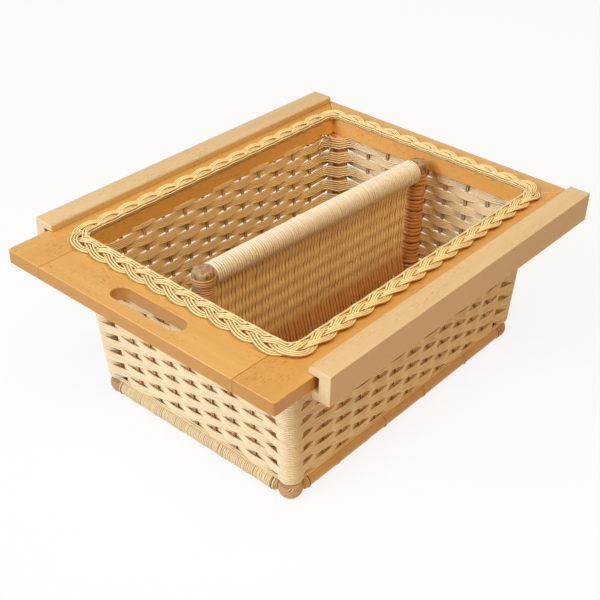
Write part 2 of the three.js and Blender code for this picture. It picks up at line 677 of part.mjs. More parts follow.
for (const [name, side] of [['left', -1], ['right', 1]]) {
  const runner = new THREE.ExtrudeGeometry(runnerOutline(side), {
    depth: runnerLength, bevelEnabled: false, curveSegments: 5,
  });
  runner.rotateX(Math.PI / 2).translate(0, HALF_D - RUNNER_BACK_SETBACK, 0);
  add(`${name}_runner`, runner, BEECH, 0.5);
}

// Screw eye in the left liner, with a wire ring hanging in it
const [postX, postY] = postAt(-1, 'back', POST_TOP);
const eyeStart = CLEAR - OPEN_X;
const eyeX = postX + RING_IN;
const eyeY = postY - WRAP_OUT - RING_PLAY - RING_WIRE_R - RING_R;
const eyeZ = FRAME_TOP - EYE_DROP;
const shankLength = eyeX - EYE_R - eyeStart;
const eyeLoop = new THREE.TorusGeometry(EYE_R, EYE_WIRE_R, 6, 14).rotateX(Math.PI / 2);
const shank = pole(EYE_WIRE_R, shankLength, 8).rotateZ(Math.PI / 2).translate(-EYE_R - shankLength / 2, 0, 0);
add('screw_eye', join([eyeLoop, shank]), STEEL, 0.35, 1).position.set(eyeX, eyeY, eyeZ);
const ringSag = EYE_R - EYE_WIRE_R - RING_WIRE_R - CLEAR;
const ring = new THREE.TorusGeometry(RING_R, RING_WIRE_R, 6, 20).rotateY(Math.PI / 2);
add('wire_ring', ring, STEEL, 0.35, 1).position.set(eyeX, eyeY, eyeZ - ringSag - RING_R);

export default basket;
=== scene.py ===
# %% [markdown]
# # A divided storage basket, cane by cane
# The real basket hangs in a wooden frame that slides on two grooved runners. Four woven walls
# stand on wound bottom rails, a plait covers the joint of frame and basket, and a tall divider
# with a wound rod splits the room in two. The solids of the CAD model are loaded as a fixed
# frame, and every piece made here stands exactly where its solid is, with finer detail.

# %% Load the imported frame
import bpy
import numpy as np
from mathutils import Matrix


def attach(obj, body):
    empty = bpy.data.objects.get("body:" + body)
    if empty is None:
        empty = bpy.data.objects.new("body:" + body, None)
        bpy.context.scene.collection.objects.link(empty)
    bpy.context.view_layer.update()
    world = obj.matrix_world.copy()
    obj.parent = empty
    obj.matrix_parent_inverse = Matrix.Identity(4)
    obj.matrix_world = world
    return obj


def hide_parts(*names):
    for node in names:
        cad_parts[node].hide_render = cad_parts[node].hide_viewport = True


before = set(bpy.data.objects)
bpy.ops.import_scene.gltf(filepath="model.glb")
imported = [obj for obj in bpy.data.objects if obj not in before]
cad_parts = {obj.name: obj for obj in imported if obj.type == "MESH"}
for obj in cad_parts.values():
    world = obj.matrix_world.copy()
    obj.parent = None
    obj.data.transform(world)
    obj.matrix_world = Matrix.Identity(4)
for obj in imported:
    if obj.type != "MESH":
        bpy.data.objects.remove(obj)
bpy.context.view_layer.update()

print("nodes in the frame:", len(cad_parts))

# %% [markdown]
# ## From arrays to a mesh
# All sizes below are in millimetres, as a basket maker would measure them, and are scaled to
# metres once, when a mesh is written. Every surface is a set of whole numpy arrays: points,
# faces of equal corner count, and a "lay" vector for each point. The lay holds how far along
# the cane the point is, how much painted shade it gets (on a cane, its flanks, where shade
# falls between canes), and one random tone for the cane, so that a finish can follow the cane
# wherever it bends.

# %% Writing a piece
MM = 0.001
LAY_APART = 3.7          # moves each cane to a stretch of the noise of its own
ANY_PHASE = 6.3          # about a full turn, for waves that start anywhere
UP, OVER = (0, 0, 1), (1, 0, 0)
chance = np.random.default_rng(1907)


def lay(name, parts, finish_name, body="basket", stands_for=()):
    """Joins the parts into one mesh object, in metres, and lets it ride on a body."""
    points = np.concatenate([part["points"] for part in parts])
    starts = np.cumsum([0] + [len(part["points"]) for part in parts])
    faces = [face + start for part, start in zip(parts, starts) for face in part["faces"]]
    corners = np.concatenate([face.ravel() for face in faces]).astype(np.int32)
    sizes = np.concatenate([np.full(len(face), face.shape[1]) for face in faces])
    mesh = bpy.data.meshes.new(name)
    mesh.vertices.add(len(points))
    mesh.vertices.foreach_set("co", (points * MM).astype(np.float32).ravel())
    mesh.loops.add(len(corners))
    mesh.loops.foreach_set("vertex_index", corners)
    mesh.polygons.add(len(sizes))
    mesh.polygons.foreach_set("loop_start", (np.cumsum(sizes) - sizes).astype(np.int32))
    smooth = [np.full(len(face), part["smooth"]) for part in parts for face in part["faces"]]
    mesh.polygons.foreach_set("use_smooth", np.concatenate(smooth))
    mesh.update(calc_edges=True)
    along = mesh.attributes.new("lay", "FLOAT_VECTOR", "POINT")
    lays = np.concatenate([part["lay"] for part in parts])
    along.data.foreach_set("vector", lays.astype(np.float32).ravel())
    mesh.materials.append(bpy.data.materials[finish_name])
    piece = bpy.data.objects.new(name, mesh)
    bpy.context.scene.collection.objects.link(piece)
    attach(piece, body)
    if stands_for:
        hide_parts(*stands_for)
    print(f"{name}: {int((sizes - 2).sum())} triangles")


# %% [markdown]
# ## Canes: a round section carried along a path
# Nearly everything here is cane, wound, woven or plaited. One function carries a ring of points
# along many paths at once. A curve object with a round bevel could do the same, but an array of
# paths lets a whole wall of canes be worked out in one go, and the lay of each cane is known.

# %% The cane maker
def unit(vectors):
    """Vectors divided by their own length."""
    return vectors / np.linalg.norm(vectors, axis=-1, keepdims=True)


def trail(x, y, z):
    """Points from numbers and arrays, spread to one shape."""
    return np.stack(np.broadcast_arrays(x, y, z), axis=-1).astype(float)


def wind(paths, radius, up, sides=6, closed=False, flat=1.0, shade=0.0):
    """Carries a ring along each path: point = path + radius * (cos a * first + sin a * second).

    The tangent is the central difference of the path, first is the direction up made square to
    it, and second is tangent x first. flat shrinks the ring along first, for split cane. The
    radius is one number, or an array for each station of each path, or for each point. The lay's
    painted-shade value is |sin a|, so the flanks where canes meet get painted shade, but at
    least shade, a number or an array for each station, for painted shade over a whole part.
    """
    paths = np.asarray(paths, dtype=float)
    count, stations = paths.shape[:2]
    if closed:
        ahead = unit(np.roll(paths, -1, axis=1) - np.roll(paths, 1, axis=1))
    else:
        ahead = unit(np.gradient(paths, axis=1))
    first = np.broadcast_to(np.asarray(up, dtype=float), paths.shape)
    first = unit(first - (first * ahead).sum(-1, keepdims=True) * ahead)
    second = np.cross(ahead, first)
    around = np.arange(sides) / sides
    cos, sin = (f(2 * np.pi * around)[:, None] for f in (np.cos, np.sin))
    ring = flat * cos * first[:, :, None] + sin * second[:, :, None]
    radius = np.asarray(radius, dtype=float)
    radius = radius if radius.ndim == 3 else np.broadcast_to(radius, (count, stations))[..., None]
    points = paths[:, :, None] + radius[..., None] * ring
    steps = np.linalg.norm(np.diff(paths, axis=1, prepend=paths[:, :1]), axis=-1)
    tone = chance.random(count)
    lays = np.empty(points.shape)
    lays[..., 0] = (np.cumsum(steps, axis=1) * MM)[..., None] + LAY_APART * tone[:, None, None]
    lays[..., 1] = np.maximum(np.abs(sin[:, 0]), np.broadcast_to(shade, (count, stations))[..., None])
    lays[..., 2] = tone[:, None, None]
    cells = stations if closed else stations - 1
    cane, station, side = np.meshgrid(np.arange(count), np.arange(cells), np.arange(sides), indexing="ij")
    ahead_of, beside = (station + 1) % stations, (side + 1) % sides
    index = lambda s, a: (cane * stations + s) * sides + a
    quads = np.stack([index(station, side), index(station, beside), index(ahead_of, beside),
                      index(ahead_of, side)], axis=-1).reshape(-1, 4)
    faces = [quads]
    if not closed:
        start = (np.arange(count) * stations * sides)[:, None] + np.arange(sides)[::-1]
        end = (np.arange(count) * stations * sides + (stations - 1) * sides)[:, None] + np.arange(sides)
        faces += [start, end]
    return {"points": points.reshape(-1, 3), "faces": faces, "lay": lays.reshape(-1, 3), "smooth": True}


def hoops(centres, radius, cane, tilt=0.0, axis="z", stations=20, sides=6, flat=1.0):
    """Closed turns of cane: circle = centre + radius * (cos, sin), leaned by a small random tilt."""
    centres = np.asarray(centres, dtype=float)
    turn = 2 * np.pi * (np.arange(stations)[None] + chance.random((len(centres), 1))) / stations
    radius = np.broadcast_to(radius, len(centres))[:, None]
    across, over = radius * np.cos(turn), radius * np.sin(turn)
    lean = tilt * (2 * chance.random((2, len(centres), 1)) - 1)
    rise = lean[0] * across + lean[1] * over
    order = {"z": (across, over, rise), "y": (over, rise, across), "x": (rise, across, over)}[axis]
    paths = centres[:, None] + np.stack(order, axis=-1)
    return wind(paths, cane, paths - centres[:, None], sides, closed=True, flat=flat)


print("cane maker ready")

# %% [markdown]
# ## Boards: an outline drawn up with soft edges
# A board is its outline, set in a little at the arrises and drawn from one face to the other.
# A Bevel modifier on a box would round the edges too, but here the same function also follows
# the hand hole and the grooved section of a runner.

# %% The board maker
FACE_RING = 0.7          # one more ring, this far inside the arris, keeps the face flat


def facing(loop):
    """The loop, turned so that it runs anticlockwise."""
    loop = np.asarray(loop, dtype=float)
    x, y = loop.T
    area = (x * np.roll(y, -1) - np.roll(x, -1) * y).sum()
    return loop if area > 0 else loop[::-1]


def soften(loop, radius, steps=5):
    """Rounds corners: the curve (1-t)^2 A + 2t(1-t) V + t^2 B from one edge to the next.

    A corner with radius 0 stays one sharp point.
    """
    loop = np.asarray(loop, dtype=float)
    before, after = np.roll(loop, 1, axis=0) - loop, np.roll(loop, -1, axis=0) - loop
    reach = np.broadcast_to(radius, len(loop))[:, None]
    a, b = loop + reach * unit(before), loop + reach * unit(after)
    t = np.linspace(0, 1, steps + 1)[None, :, None]
    curve = (1 - t) ** 2 * a[:, None] + 2 * t * (1 - t) * loop[:, None] + t ** 2 * b[:, None]
    keep = (reach > 0) | (np.arange(steps + 1) == 0)
    return facing(curve[keep])


def inset(loop, distance):
    """Moves a loop to its left by the distance: along the sum of both edge normals, mitred."""
    edge = unit(np.roll(loop, -1, axis=0) - loop)
    normal = np.stack([-edge[:, 1], edge[:, 0]], axis=-1)
    other = np.roll(normal, 1, axis=0)
    return loop + distance * (normal + other) / (1 + (normal * other).sum(-1, keepdims=True))


def board(outline, low, high, arris, axes="xyz", hole=None, edge=0.0):
    """Draws an outline from low to high with quarter-round arrises, as rings of equal length.

    Each ring is the outline set in by arris * (1 - cos a) at low + arris * (1 - sin a), and the
    same at the top. With a hole the rings go on down its wall and close on the first ring. axes
    names what the outline's two numbers and the height stand for, as a right-handed set. edge is
    the painted shade of the rings that are not set in, which are the upright sides.
    """
    turn = np.radians([90, 60, 30, 0])
    depth = np.concatenate([[arris + FACE_RING], arris * (1 - np.cos(turn))])
    height = np.concatenate([[low], low + arris * (1 - np.sin(turn))])
    depth = np.concatenate([depth, depth[::-1]])
    height = np.concatenate([height, low + high - height[::-1]])
    stages = list(zip(depth, height))
    rings = [np.column_stack([inset(outline, d), np.full(len(outline), h)]) for d, h in stages]
    if hole is not None:
        rings += [np.column_stack([inset(hole, -d), np.full(len(hole), h)]) for d, h in stages[::-1]]
    rings = np.stack(rings)
    count, size = rings.shape[:2]
    cells = count if hole is not None else count - 1
    ring, side = np.meshgrid(np.arange(cells), np.arange(size), indexing="ij")
    index = lambda r, a: (r % count) * size + a % size
    faces = [np.stack([index(ring, side), index(ring, side + 1), index(ring + 1, side + 1),
                       index(ring + 1, side)], axis=-1).reshape(-1, 4)]
    if hole is None:
        faces += [np.arange(size)[None, ::-1], (count - 1) * size + np.arange(size)[None]]
    points = rings.reshape(-1, 3)
    points = points[:, [axes.index(letter) for letter in "xyz"]]
    lays = np.zeros(points.shape)
    # painted shade: the upright sides take the edge value, which Beech grain mixes towards a darker colour
    upright = np.tile(depth < 0.01, count // len(depth))
    lays[:, 1] = np.repeat(np.where(upright, edge, 0.0), size)
    return {"points": points, "faces": faces, "lay": lays, "smooth": False}


print("board maker ready")

# %% [markdown]
# ## Finishes
# Two effects are shared, so each is a shader node group. Cane skin reads the lay of a cane: its
# tone, slow changes along its length and fine fibres, and the painted shade on its flanks where
# canes meet and over the lower part of the divider's panel. Beech grain reads Object coordinates
# that the material has stretched along the grain: soft bands, fine pores and the short dark
# flecks that mark beech. On a board the lay only tells its upright sides, which get painted
# shade; a runner's outer side, which gets painted shade too, is told by its distance from the
# middle instead. The shaders themselves stay in the materials.

# %% Small helpers for nodes
def tint(red, green, blue):
    """A colour from 0-255 screen values, as linear light."""
    c = np.array([red, green, blue]) / 255
    return (*np.where(c <= 0.04045, c / 12.92, ((c + 0.055) / 1.055) ** 2.4).tolist(), 1.0)


def feed(tree, made, inputs):
    """Gives each named input of a node its plain value, or a link from an output socket."""
    for socket, value in inputs.items():
        if isinstance(value, bpy.types.NodeSocket):
            tree.links.new(value, made.inputs[socket])
        else:
            made.inputs[socket].default_value = value


def node(tree, kind, inputs=None, **settings):
    """One node with its inputs, and with plain settings given as attributes."""
    made = tree.nodes.new(kind)
    for key, value in settings.items():
        setattr(made, key, value)
    feed(tree, made, inputs or {})
    return made


def mixed(tree, factor, low, high):
    """A mix of two colours."""
    inputs = {"Factor": factor, 6: low, 7: high}
    return node(tree, "ShaderNodeMix", inputs, data_type="RGBA").outputs[2]


def maths(tree, operation, *values):
    """One step of arithmetic on up to three values."""
    return node(tree, "ShaderNodeMath", dict(enumerate(values)), operation=operation).outputs[0]


def scaled(tree, vector, factors):
    """A vector multiplied axis by axis."""
    return node(tree, "ShaderNodeVectorMath", {0: vector, 1: factors}, operation="MULTIPLY").outputs[0]


def parted(tree, vector):
    """The three numbers of a vector."""
    return node(tree, "ShaderNodeSeparateXYZ", {0: vector}).outputs


def lay_read(tree):
    """The lay that was written on the mesh."""
    return node(tree, "ShaderNodeAttribute", attribute_name="lay").outputs["Vector"]


def noise(tree, vector, detail=2.0, rough=0.5):
    """Soft noise read at a vector that is already scaled."""
    inputs = {"Vector": vector, "Scale": 1.0, "Detail": detail, "Roughness": rough}
    return node(tree, "ShaderNodeTexNoise", inputs).outputs["Fac"]


def spread(tree, value, low, high, to_low=0.0, to_high=1.0):
    """Maps a value from one range to another, held at the ends."""
    inputs = dict(enumerate((value, low, high, to_low, to_high)))
    return node(tree, "ShaderNodeMapRange", inputs).outputs[0]


def effect(name, inputs, outputs):
    """A new node group, the sockets that it is given, and the node that takes its results."""
    group = bpy.data.node_groups.new(name, "ShaderNodeTree")
    for way, sockets in (("INPUT", inputs), ("OUTPUT", outputs)):
        for socket, kind in sockets.items():
            group.interface.new_socket(socket, in_out=way, socket_type=kind)
    return group, node(group, "NodeGroupInput").outputs, node(group, "NodeGroupOutput")


COLOUR, VALUE, VECTOR = "NodeSocketColor", "NodeSocketFloat", "NodeSocketVector"
print("node helpers ready")

# %% Cane skin
skin, given, result = effect(
    "Cane skin", {"Pale": COLOUR, "Deep": COLOUR, "Stain": COLOUR, "Painted shade": COLOUR},
    {"Color": COLOUR, "Height": VALUE})
read = lay_read(skin)
_, shade_amount, cane_tone = parted(skin, read)
slow = noise(skin, scaled(skin, read, (22.0, 0.4, 61.0)), 2.0)
fibre = noise(skin, scaled(skin, read, (90.0, 5.0, 47.0)), 3.0)
deepness = maths(skin, "MULTIPLY_ADD", cane_tone, 0.55, spread(skin, slow, 0.35, 0.7, 0.0, 0.5))
toned = mixed(skin, deepness, given["Pale"], given["Deep"])
stained = mixed(skin, spread(skin, fibre, 0.58, 0.78, 0.0, 0.5), toned, given["Stain"])
# painted shade: the flanks where canes meet, and the divider panel's lower part, are mixed towards the
# darker fourth colour
shade_mixed = mixed(skin, spread(skin, shade_amount, 0.55, 0.9, 0.0, 0.9), stained, given["Painted shade"])
feed(skin, result, {"Color": shade_mixed, "Height": fibre})
print("cane skin:", len(skin.nodes), "nodes")

# %% Beech grain
grain, given, result = effect(
    "Beech grain", {"Vector": VECTOR, "Pale": COLOUR, "Deep": COLOUR, "Fleck": COLOUR, "Side shade": COLOUR,
                    "Outer side": VALUE}, {"Color": COLOUR, "Height": VALUE})
along_grain = given["Vector"]
bands = noise(grain, scaled(grain, along_grain, (3.0, 45.0, 45.0)), 3.0)
pores = noise(grain, scaled(grain, along_grain, (60.0, 1500.0, 1500.0)), 2.0)
flecks = noise(grain, scaled(grain, along_grain, (190.0, 820.0, 820.0)), 1.0)
clumps = noise(grain, scaled(grain, along_grain, (16.0, 40.0, 40.0)), 1.0)
banded = mixed(grain, spread(grain, bands, 0.3, 0.72), given["Pale"], given["Deep"])
pored = mixed(grain, spread(grain, pores, 0.55, 0.8, 0.0, 0.35), banded, given["Deep"])
fleck_here = maths(grain, "MULTIPLY", spread(grain, flecks, 0.58, 0.7, 0.0, 0.8),
                   spread(grain, clumps, 0.4, 0.58, 0.15, 1.0))
flecked = mixed(grain, fleck_here, pored, given["Fleck"])
# painted shade: a board's upright sides and a runner's outer side are mixed towards the darker fourth
# colour
_, side_shade_amount, _ = parted(grain, lay_read(grain))
_, off_middle, _ = parted(grain, along_grain)
outer = maths(grain, "GREATER_THAN", maths(grain, "ABSOLUTE", off_middle), given["Outer side"])
side_or_outer_shade = maths(grain, "MAXIMUM", side_shade_amount, outer)
side_shade_mixed = mixed(grain, spread(grain, side_or_outer_shade, 0.0, 1.0, 0.0, 0.85), flecked, given["Side shade"])
feed(grain, result, {"Color": side_shade_mixed, "Height": pores})
print("beech grain:", len(grain.nodes), "nodes")


# %% Making the materials
def blank(name):
    """A new material's node tree and its shader."""
    material = bpy.data.materials.new(name)
    material.use_nodes = True
    return material.node_tree, material.node_tree.nodes["Principled BSDF"]


def finish(name, group, colours, rough, bump, coat, turn=None, outer_from=0.0):
    """A material whose colour and bump come from a shared group, with its own shader."""
    tree, shader = blank(name)
    look = node(tree, "ShaderNodeGroup", node_tree=group)
    feed(tree, look, {socket: tint(*colour) for socket, colour in colours.items()})
    if turn is not None:
        place = node(tree, "ShaderNodeTexCoord").outputs["Object"]
        turned = node(tree, "ShaderNodeMapping", {"Vector": place, "Rotation": (0, 0, turn)})
        feed(tree, look, {"Vector": turned.outputs[0], "Outer side": outer_from})
    relief = node(tree, "ShaderNodeBump", {"Strength": bump, "Distance": 0.0004,
                                           "Height": look.outputs["Height"]})
    feed(tree, shader, {"Roughness": rough, "Coat Weight": coat, "Coat Roughness": 0.35,
                        "Normal": relief.outputs[0], "Base Color": look.outputs["Color"]})


# The fourth colour of each cane is painted shade, for the flanks where canes meet.
CANES_LOOK = {  # pale, deep, stain and flank, then roughness, bump and coat
    "cream_cane": ((243, 235, 221), (239, 226, 204), (228, 203, 170), (218, 184, 142), 0.42, 0.25, 0.0),
    "post_cane": ((242, 224, 184), (234, 210, 164), (220, 186, 134), (214, 178, 126), 0.42, 0.25, 0.0),
    "foot_cane": ((210, 172, 124), (194, 150, 100), (174, 126, 78), (164, 116, 70), 0.45, 0.25, 0.0),
    "plait_cane": ((252, 236, 188), (244, 216, 156), (224, 182, 108), (186, 138, 70), 0.36, 0.25, 0.15),
    "wall_cane": ((251, 233, 193), (243, 218, 171), (224, 187, 134), (214, 171, 112), 0.45, 0.25, 0.0),
    "shade_cane": ((224, 186, 134), (208, 164, 108), (184, 134, 80), (160, 108, 60), 0.5, 0.3, 0.0),
    "stake_cane": ((222, 190, 142), (204, 166, 114), (176, 132, 80), (150, 104, 60), 0.5, 0.3, 0.0),
    "bare_rattan": ((218, 158, 92), (198, 131, 70), (156, 94, 44), (150, 88, 40), 0.4, 0.35, 0.1),
    "rail_rattan": ((222, 180, 114), (206, 158, 90), (178, 126, 66), (206, 158, 92), 0.4, 0.35, 0.1),
    "panel_cane": ((253, 236, 196), (248, 220, 166), (228, 184, 124), (194, 128, 70), 0.5, 0.3, 0.0),
    "dark_tie": ((132, 78, 36), (104, 58, 26), (84, 44, 20), (70, 38, 18), 0.55, 0.3, 0.0)}
for name, (*colours, rough, bump, coat) in CANES_LOOK.items():
    finish(name, skin, dict(zip(("Pale", "Deep", "Stain", "Painted shade"), colours)), rough, bump, coat)
QUARTER = np.pi / 2
NO_OUTER, RUNNER_OUTER = 9.0, 0.18215    # metres from the middle to where an outer side begins
# The fourth colour of each wood is painted shade, for upright sides and a runner's outer side.
BEECH_LOOK = {  # pale, deep, fleck and edge, then roughness, bump, coat, turn and outer side
    "frame_beech_across": ((226, 182, 108), (214, 161, 82), (184, 126, 56), (184, 126, 52),
                           0.42, 0.12, 0.1, 0, NO_OUTER),
    "frame_beech_along": ((220, 172, 96), (208, 152, 72), (182, 122, 52), (184, 126, 52),
                          0.42, 0.12, 0.1, -QUARTER, NO_OUTER),
    "liner_beech_across": ((243, 188, 108), (230, 164, 82), (198, 128, 60), (198, 128, 60),
                           0.45, 0.12, 0.0, 0, NO_OUTER),
    "liner_beech_along": ((252, 208, 128), (244, 186, 100), (206, 142, 72), (206, 142, 72),
                          0.45, 0.12, 0.0, -QUARTER, NO_OUTER),
    "runner_beech": ((229, 203, 163), (219, 189, 143), (201, 164, 117), (200, 163, 119),
                     0.55, 0.15, 0.0, -QUARTER, RUNNER_OUTER)}
for name, (*colours, rough, bump, coat, turn, outer_from) in BEECH_LOOK.items():
    colours = dict(zip(("Pale", "Deep", "Fleck", "Side shade"), colours))
    finish(name, grain, colours, rough, bump, coat, turn, outer_from)
print("finishes:", len(bpy.data.materials))

# %% [markdown]
# ## Weathered pole end and bright wire
# The divider's front post ends in bare grey-brown wood, mottled by water. Its blotches come from
# noise on Object coordinates, since nothing there follows a cane. The small wire ring is bright
# steel with a little uneven polish.

# %% Weathered wood and wire
tree, shader = blank("weathered_pole")
place = node(tree, "ShaderNodeTexCoord").outputs["Object"]
blotch = noise(tree, scaled(tree, place, (260.0, 260.0, 120.0)), 5.0, 0.65)
streak = noise(tree, scaled(tree, place, (900.0, 900.0, 110.0)), 3.0)
base = mixed(tree, spread(tree, blotch, 0.36, 0.62), tint(206, 176, 134), tint(132, 98, 64))
dark = mixed(tree, spread(tree, streak, 0.56, 0.72, 0.0, 0.85), base, tint(88, 62, 42))
relief = node(tree, "ShaderNodeBump", {"Strength": 0.5, "Distance": 0.0008, "Height": blotch})
feed(tree, shader, {"Roughness": 0.65, "Base Color": dark, "Normal": relief.outputs[0]})

tree, shader = blank("bright_wire")
place = node(tree, "ShaderNodeTexCoord").outputs["Object"]
polish = noise(tree, scaled(tree, place, (700.0, 700.0, 700.0)))
feed(tree, shader, {"Base Color": tint(196, 190, 180), "Metallic": 1.0,
                    "Roughness": spread(tree, polish, 0.3, 0.7, 0.18, 0.36)})
print("weathered pole and wire ready")

# %% [markdown]
# ## Frame boards
# Two long beech rails run through to the front, where they widen into a nose on each side of
# the front board. The back board is mitred between them. The front board has the hand hole, so
# its outline and the hole are sampled with the same number of points, quadrant by quadrant.

# %% Rails, back board and front board
FRAME_X, FRAME_Y, NOSE_X = 165.0, 232.5, 120.0
BOARD_LOW, BOARD_HIGH, ARRIS = 171.0, 185.0, 0.8
OPEN_X, OPEN_FRONT, OPEN_BACK = 135.9, -177.9, 204.4
FIT = 0.3                # gap where two boards meet
rail = np.array([(FRAME_X, -FRAME_Y), (FRAME_X, FRAME_Y), (OPEN_X, OPEN_BACK), (OPEN_X, OPEN_FRONT),
                 (NOSE_X, OPEN_FRONT), (NOSE_X, -FRAME_Y)])
rail_round = [4, 0, 0, 5, 0, 0]
# edge=1.0 gives the boards' upright sides painted shade.
for side, name in ((1, "right_frame_rail"), (-1, "left_frame_rail")):
    outline = soften(rail * (side, 1), rail_round)
    lay(name + "_board", [board(outline, BOARD_LOW, BOARD_HIGH, ARRIS, edge=1.0)],
        "frame_beech_along", stands_for=[name])
inner_x, outer_x = OPEN_X - FIT, FRAME_X - FIT
back = np.array([(-inner_x, OPEN_BACK), (inner_x, OPEN_BACK), (outer_x, FRAME_Y), (-outer_x, FRAME_Y)])
lay("back_frame_board_mitred", [board(back, BOARD_LOW, BOARD_HIGH, ARRIS, edge=1.0)],
    "frame_beech_across", stands_for=["back_frame_board"])

SLOT_Y, SLOT_HALF, SLOT_R = -210.0, 34.5, 9.5
STEPS, ARC_STEPS, END_STEPS = 24, 10, 5    # points in a quadrant, on the slot's arc, on the board's end
step = np.arange(STEPS)
arc = np.radians(np.interp(step, [0, ARC_STEPS], [0, 90]))
slot_x = np.where(step <= ARC_STEPS, SLOT_HALF + SLOT_R * np.cos(arc),
                  np.interp(step, [ARC_STEPS, STEPS], [SLOT_HALF, 0]))
quarter_slot = np.stack([slot_x, SLOT_R * np.sin(arc)], -1)
quarter_edge = np.stack([np.interp(step, [0, END_STEPS, STEPS], [1, 1, 0]),
                         np.interp(step, [0, END_STEPS], [0, 1])], -1)


def four_quarters(quarter):
    """A full loop from its first quadrant: mirrored for the second, turned half round for the rest."""
    end = np.array([[0.0, quarter[-1, 1]]])
    second = (np.concatenate([quarter, end]) * (-1, 1))[::-1]
    half = np.concatenate([quarter, second[:-1]])
    return np.concatenate([half, -half])


edge = four_quarters(quarter_edge)
reach_y = np.where(edge[:, 1] > 0, OPEN_FRONT - SLOT_Y, FRAME_Y + SLOT_Y)
edge = np.stack([edge[:, 0] * (NOSE_X - FIT), edge[:, 1] * reach_y], -1)
slot = four_quarters(quarter_slot)
front = board(edge + (0, SLOT_Y), BOARD_LOW, BOARD_HIGH, ARRIS, hole=slot + (0, SLOT_Y), edge=1.0)
lay("front_frame_board_slotted", [front], "frame_beech_across",
    stands_for=["front_frame_board"])

# %% [markdown]
# ## Runners
# Each runner is one length of pale beech with a groove for the frame's edge. Its section is a C,
# drawn up along the depth of the basket, with a rounded upper lip. The runners slide, so each
# piece rides on its own body.

# %% Grooved runners
RUNNER_LOW, RUNNER_HIGH, GROOVE_LOW, GROOVE_HIGH = 162.25, 192.35, 170.65, 185.35
LIP_X, LEDGE_X, GROOVE_X, OUTER_X = 158.8, 163.8, 170.0, 182.2
RUNNER_FRONT, RUNNER_BACK, RUNNER_ARRIS = -186.0, 228.0, 0.9
section = np.array([(RUNNER_LOW, LEDGE_X), (RUNNER_LOW, OUTER_X), (RUNNER_HIGH, OUTER_X),
                    (RUNNER_HIGH, LIP_X), (GROOVE_HIGH, LIP_X), (GROOVE_HIGH, GROOVE_X),
                    (GROOVE_LOW, GROOVE_X), (GROOVE_LOW, LEDGE_X)])
section_round = [2.6, 0, 0, 2.6, 0, 0, 0, 0]
for side, name, body in ((1, "right_runner", "right_slide"), (-1, "left_runner", "left_slide")):
    outline = soften(section * (1, side), section_round)
    lay(name + "_grooved", [board(outline, RUNNER_FRONT, RUNNER_BACK, RUNNER_ARRIS, axes="zxy")],
        "runner_beech", body=body, stands_for=[name])

# %% [markdown]
# ## Corner posts and the lie of the walls
# The four posts lean outwards. Every wall hangs between two of them, and any point of it is
# given by a share of the way from the first post to the second, a height, and how far it stands
# out. These few functions are used by all the woven pieces.

# %% Where posts and walls are
POST_LOW, POST_HIGH = 18.8, 166.7
POST_X, POST_FRONT, POST_BACK = 115.0, -150.5, 195.5    # the axes of the posts at their feet
LEAN_X, LEAN_FRONT, LEAN_BACK = 6.5, 17.0, 2.5          # how far a post leans out at its top
FOOT_OUT = 6.0                                          # how far a wall stands out at its foot
WEAVE_HIGH, WEAVE_LOW, BANDS, CANES = 165.5, 22.8, 16, 5
PITCH = (WEAVE_HIGH - WEAVE_LOW) / BANDS
CANE_PITCH, CANE_R = PITCH / CANES, 1.05
WALLS = {  # outward, along, first corner (side, end), second corner, stakes, stand-out at the top
    "front": ((0, -1), (1, 0), (-1, -1), (1, -1), 7, 7.0),
    "right": ((1, 0), (0, 1), (1, -1), (1, 1), 11, 8.0),
    "back": ((0, 1), (-1, 0), (1, 1), (-1, 1), 7, 4.3),
    "left": ((-1, 0), (0, -1), (-1, 1), (-1, -1), 11, 8.0)}
AT_STAKE = {"front": 2.12, "right": 2.36, "back": 2.06, "left": 2.06}    # pitch of canes at a stake


def rise(z):
    """Share of the post's height, 0 at its foot and 1 at its top."""
    return (np.asarray(z, dtype=float) - POST_LOW) / (POST_HIGH - POST_LOW)


def post_axis(side, end, z):
    """The post's axis at a height, leaning out evenly from its foot to its top."""
    t = rise(z)
    y = np.where(end < 0, POST_FRONT - LEAN_FRONT * t, POST_BACK + LEAN_BACK * t)
    return np.stack([side * (POST_X + LEAN_X * t), y], -1)


def wall_point(wall, share, z, out):
    """A point of a wall: the line between both posts at that share, plus out along the normal."""
    normal, _, first, second, _, _ = WALLS[wall]
    a, b = post_axis(*first, z), post_axis(*second, z)
    flat = a + (b - a) * np.asarray(share)[..., None] + np.asarray(out)[..., None] * np.array(normal)
    return np.concatenate([flat, np.broadcast_to(z, flat.shape[:-1])[..., None]], axis=-1)


def stand_out(wall, z):
    """How far a wall's middle stands outside the line between its posts."""
    return FOOT_OUT + (WALLS[wall][5] - FOOT_OUT) * rise(z)


print("cane pitch", round(CANE_PITCH, 3), "mm")

# %% [markdown]
# ## Woven walls
# Each wall has sixteen bands of five canes. A band passes in front of one stake and behind the
# next, like a cosine wave along the wall, and its neighbour does the opposite. At a stake the
# five canes spread a little, and between stakes they close up, so a small slit stays open on
# each side of every stake. Even bands turn round the outside of the corner posts, and odd bands
# pass inside them with their canes fanned out; at the back left corner the two change places.
# Four more canes close the wall behind the liner.

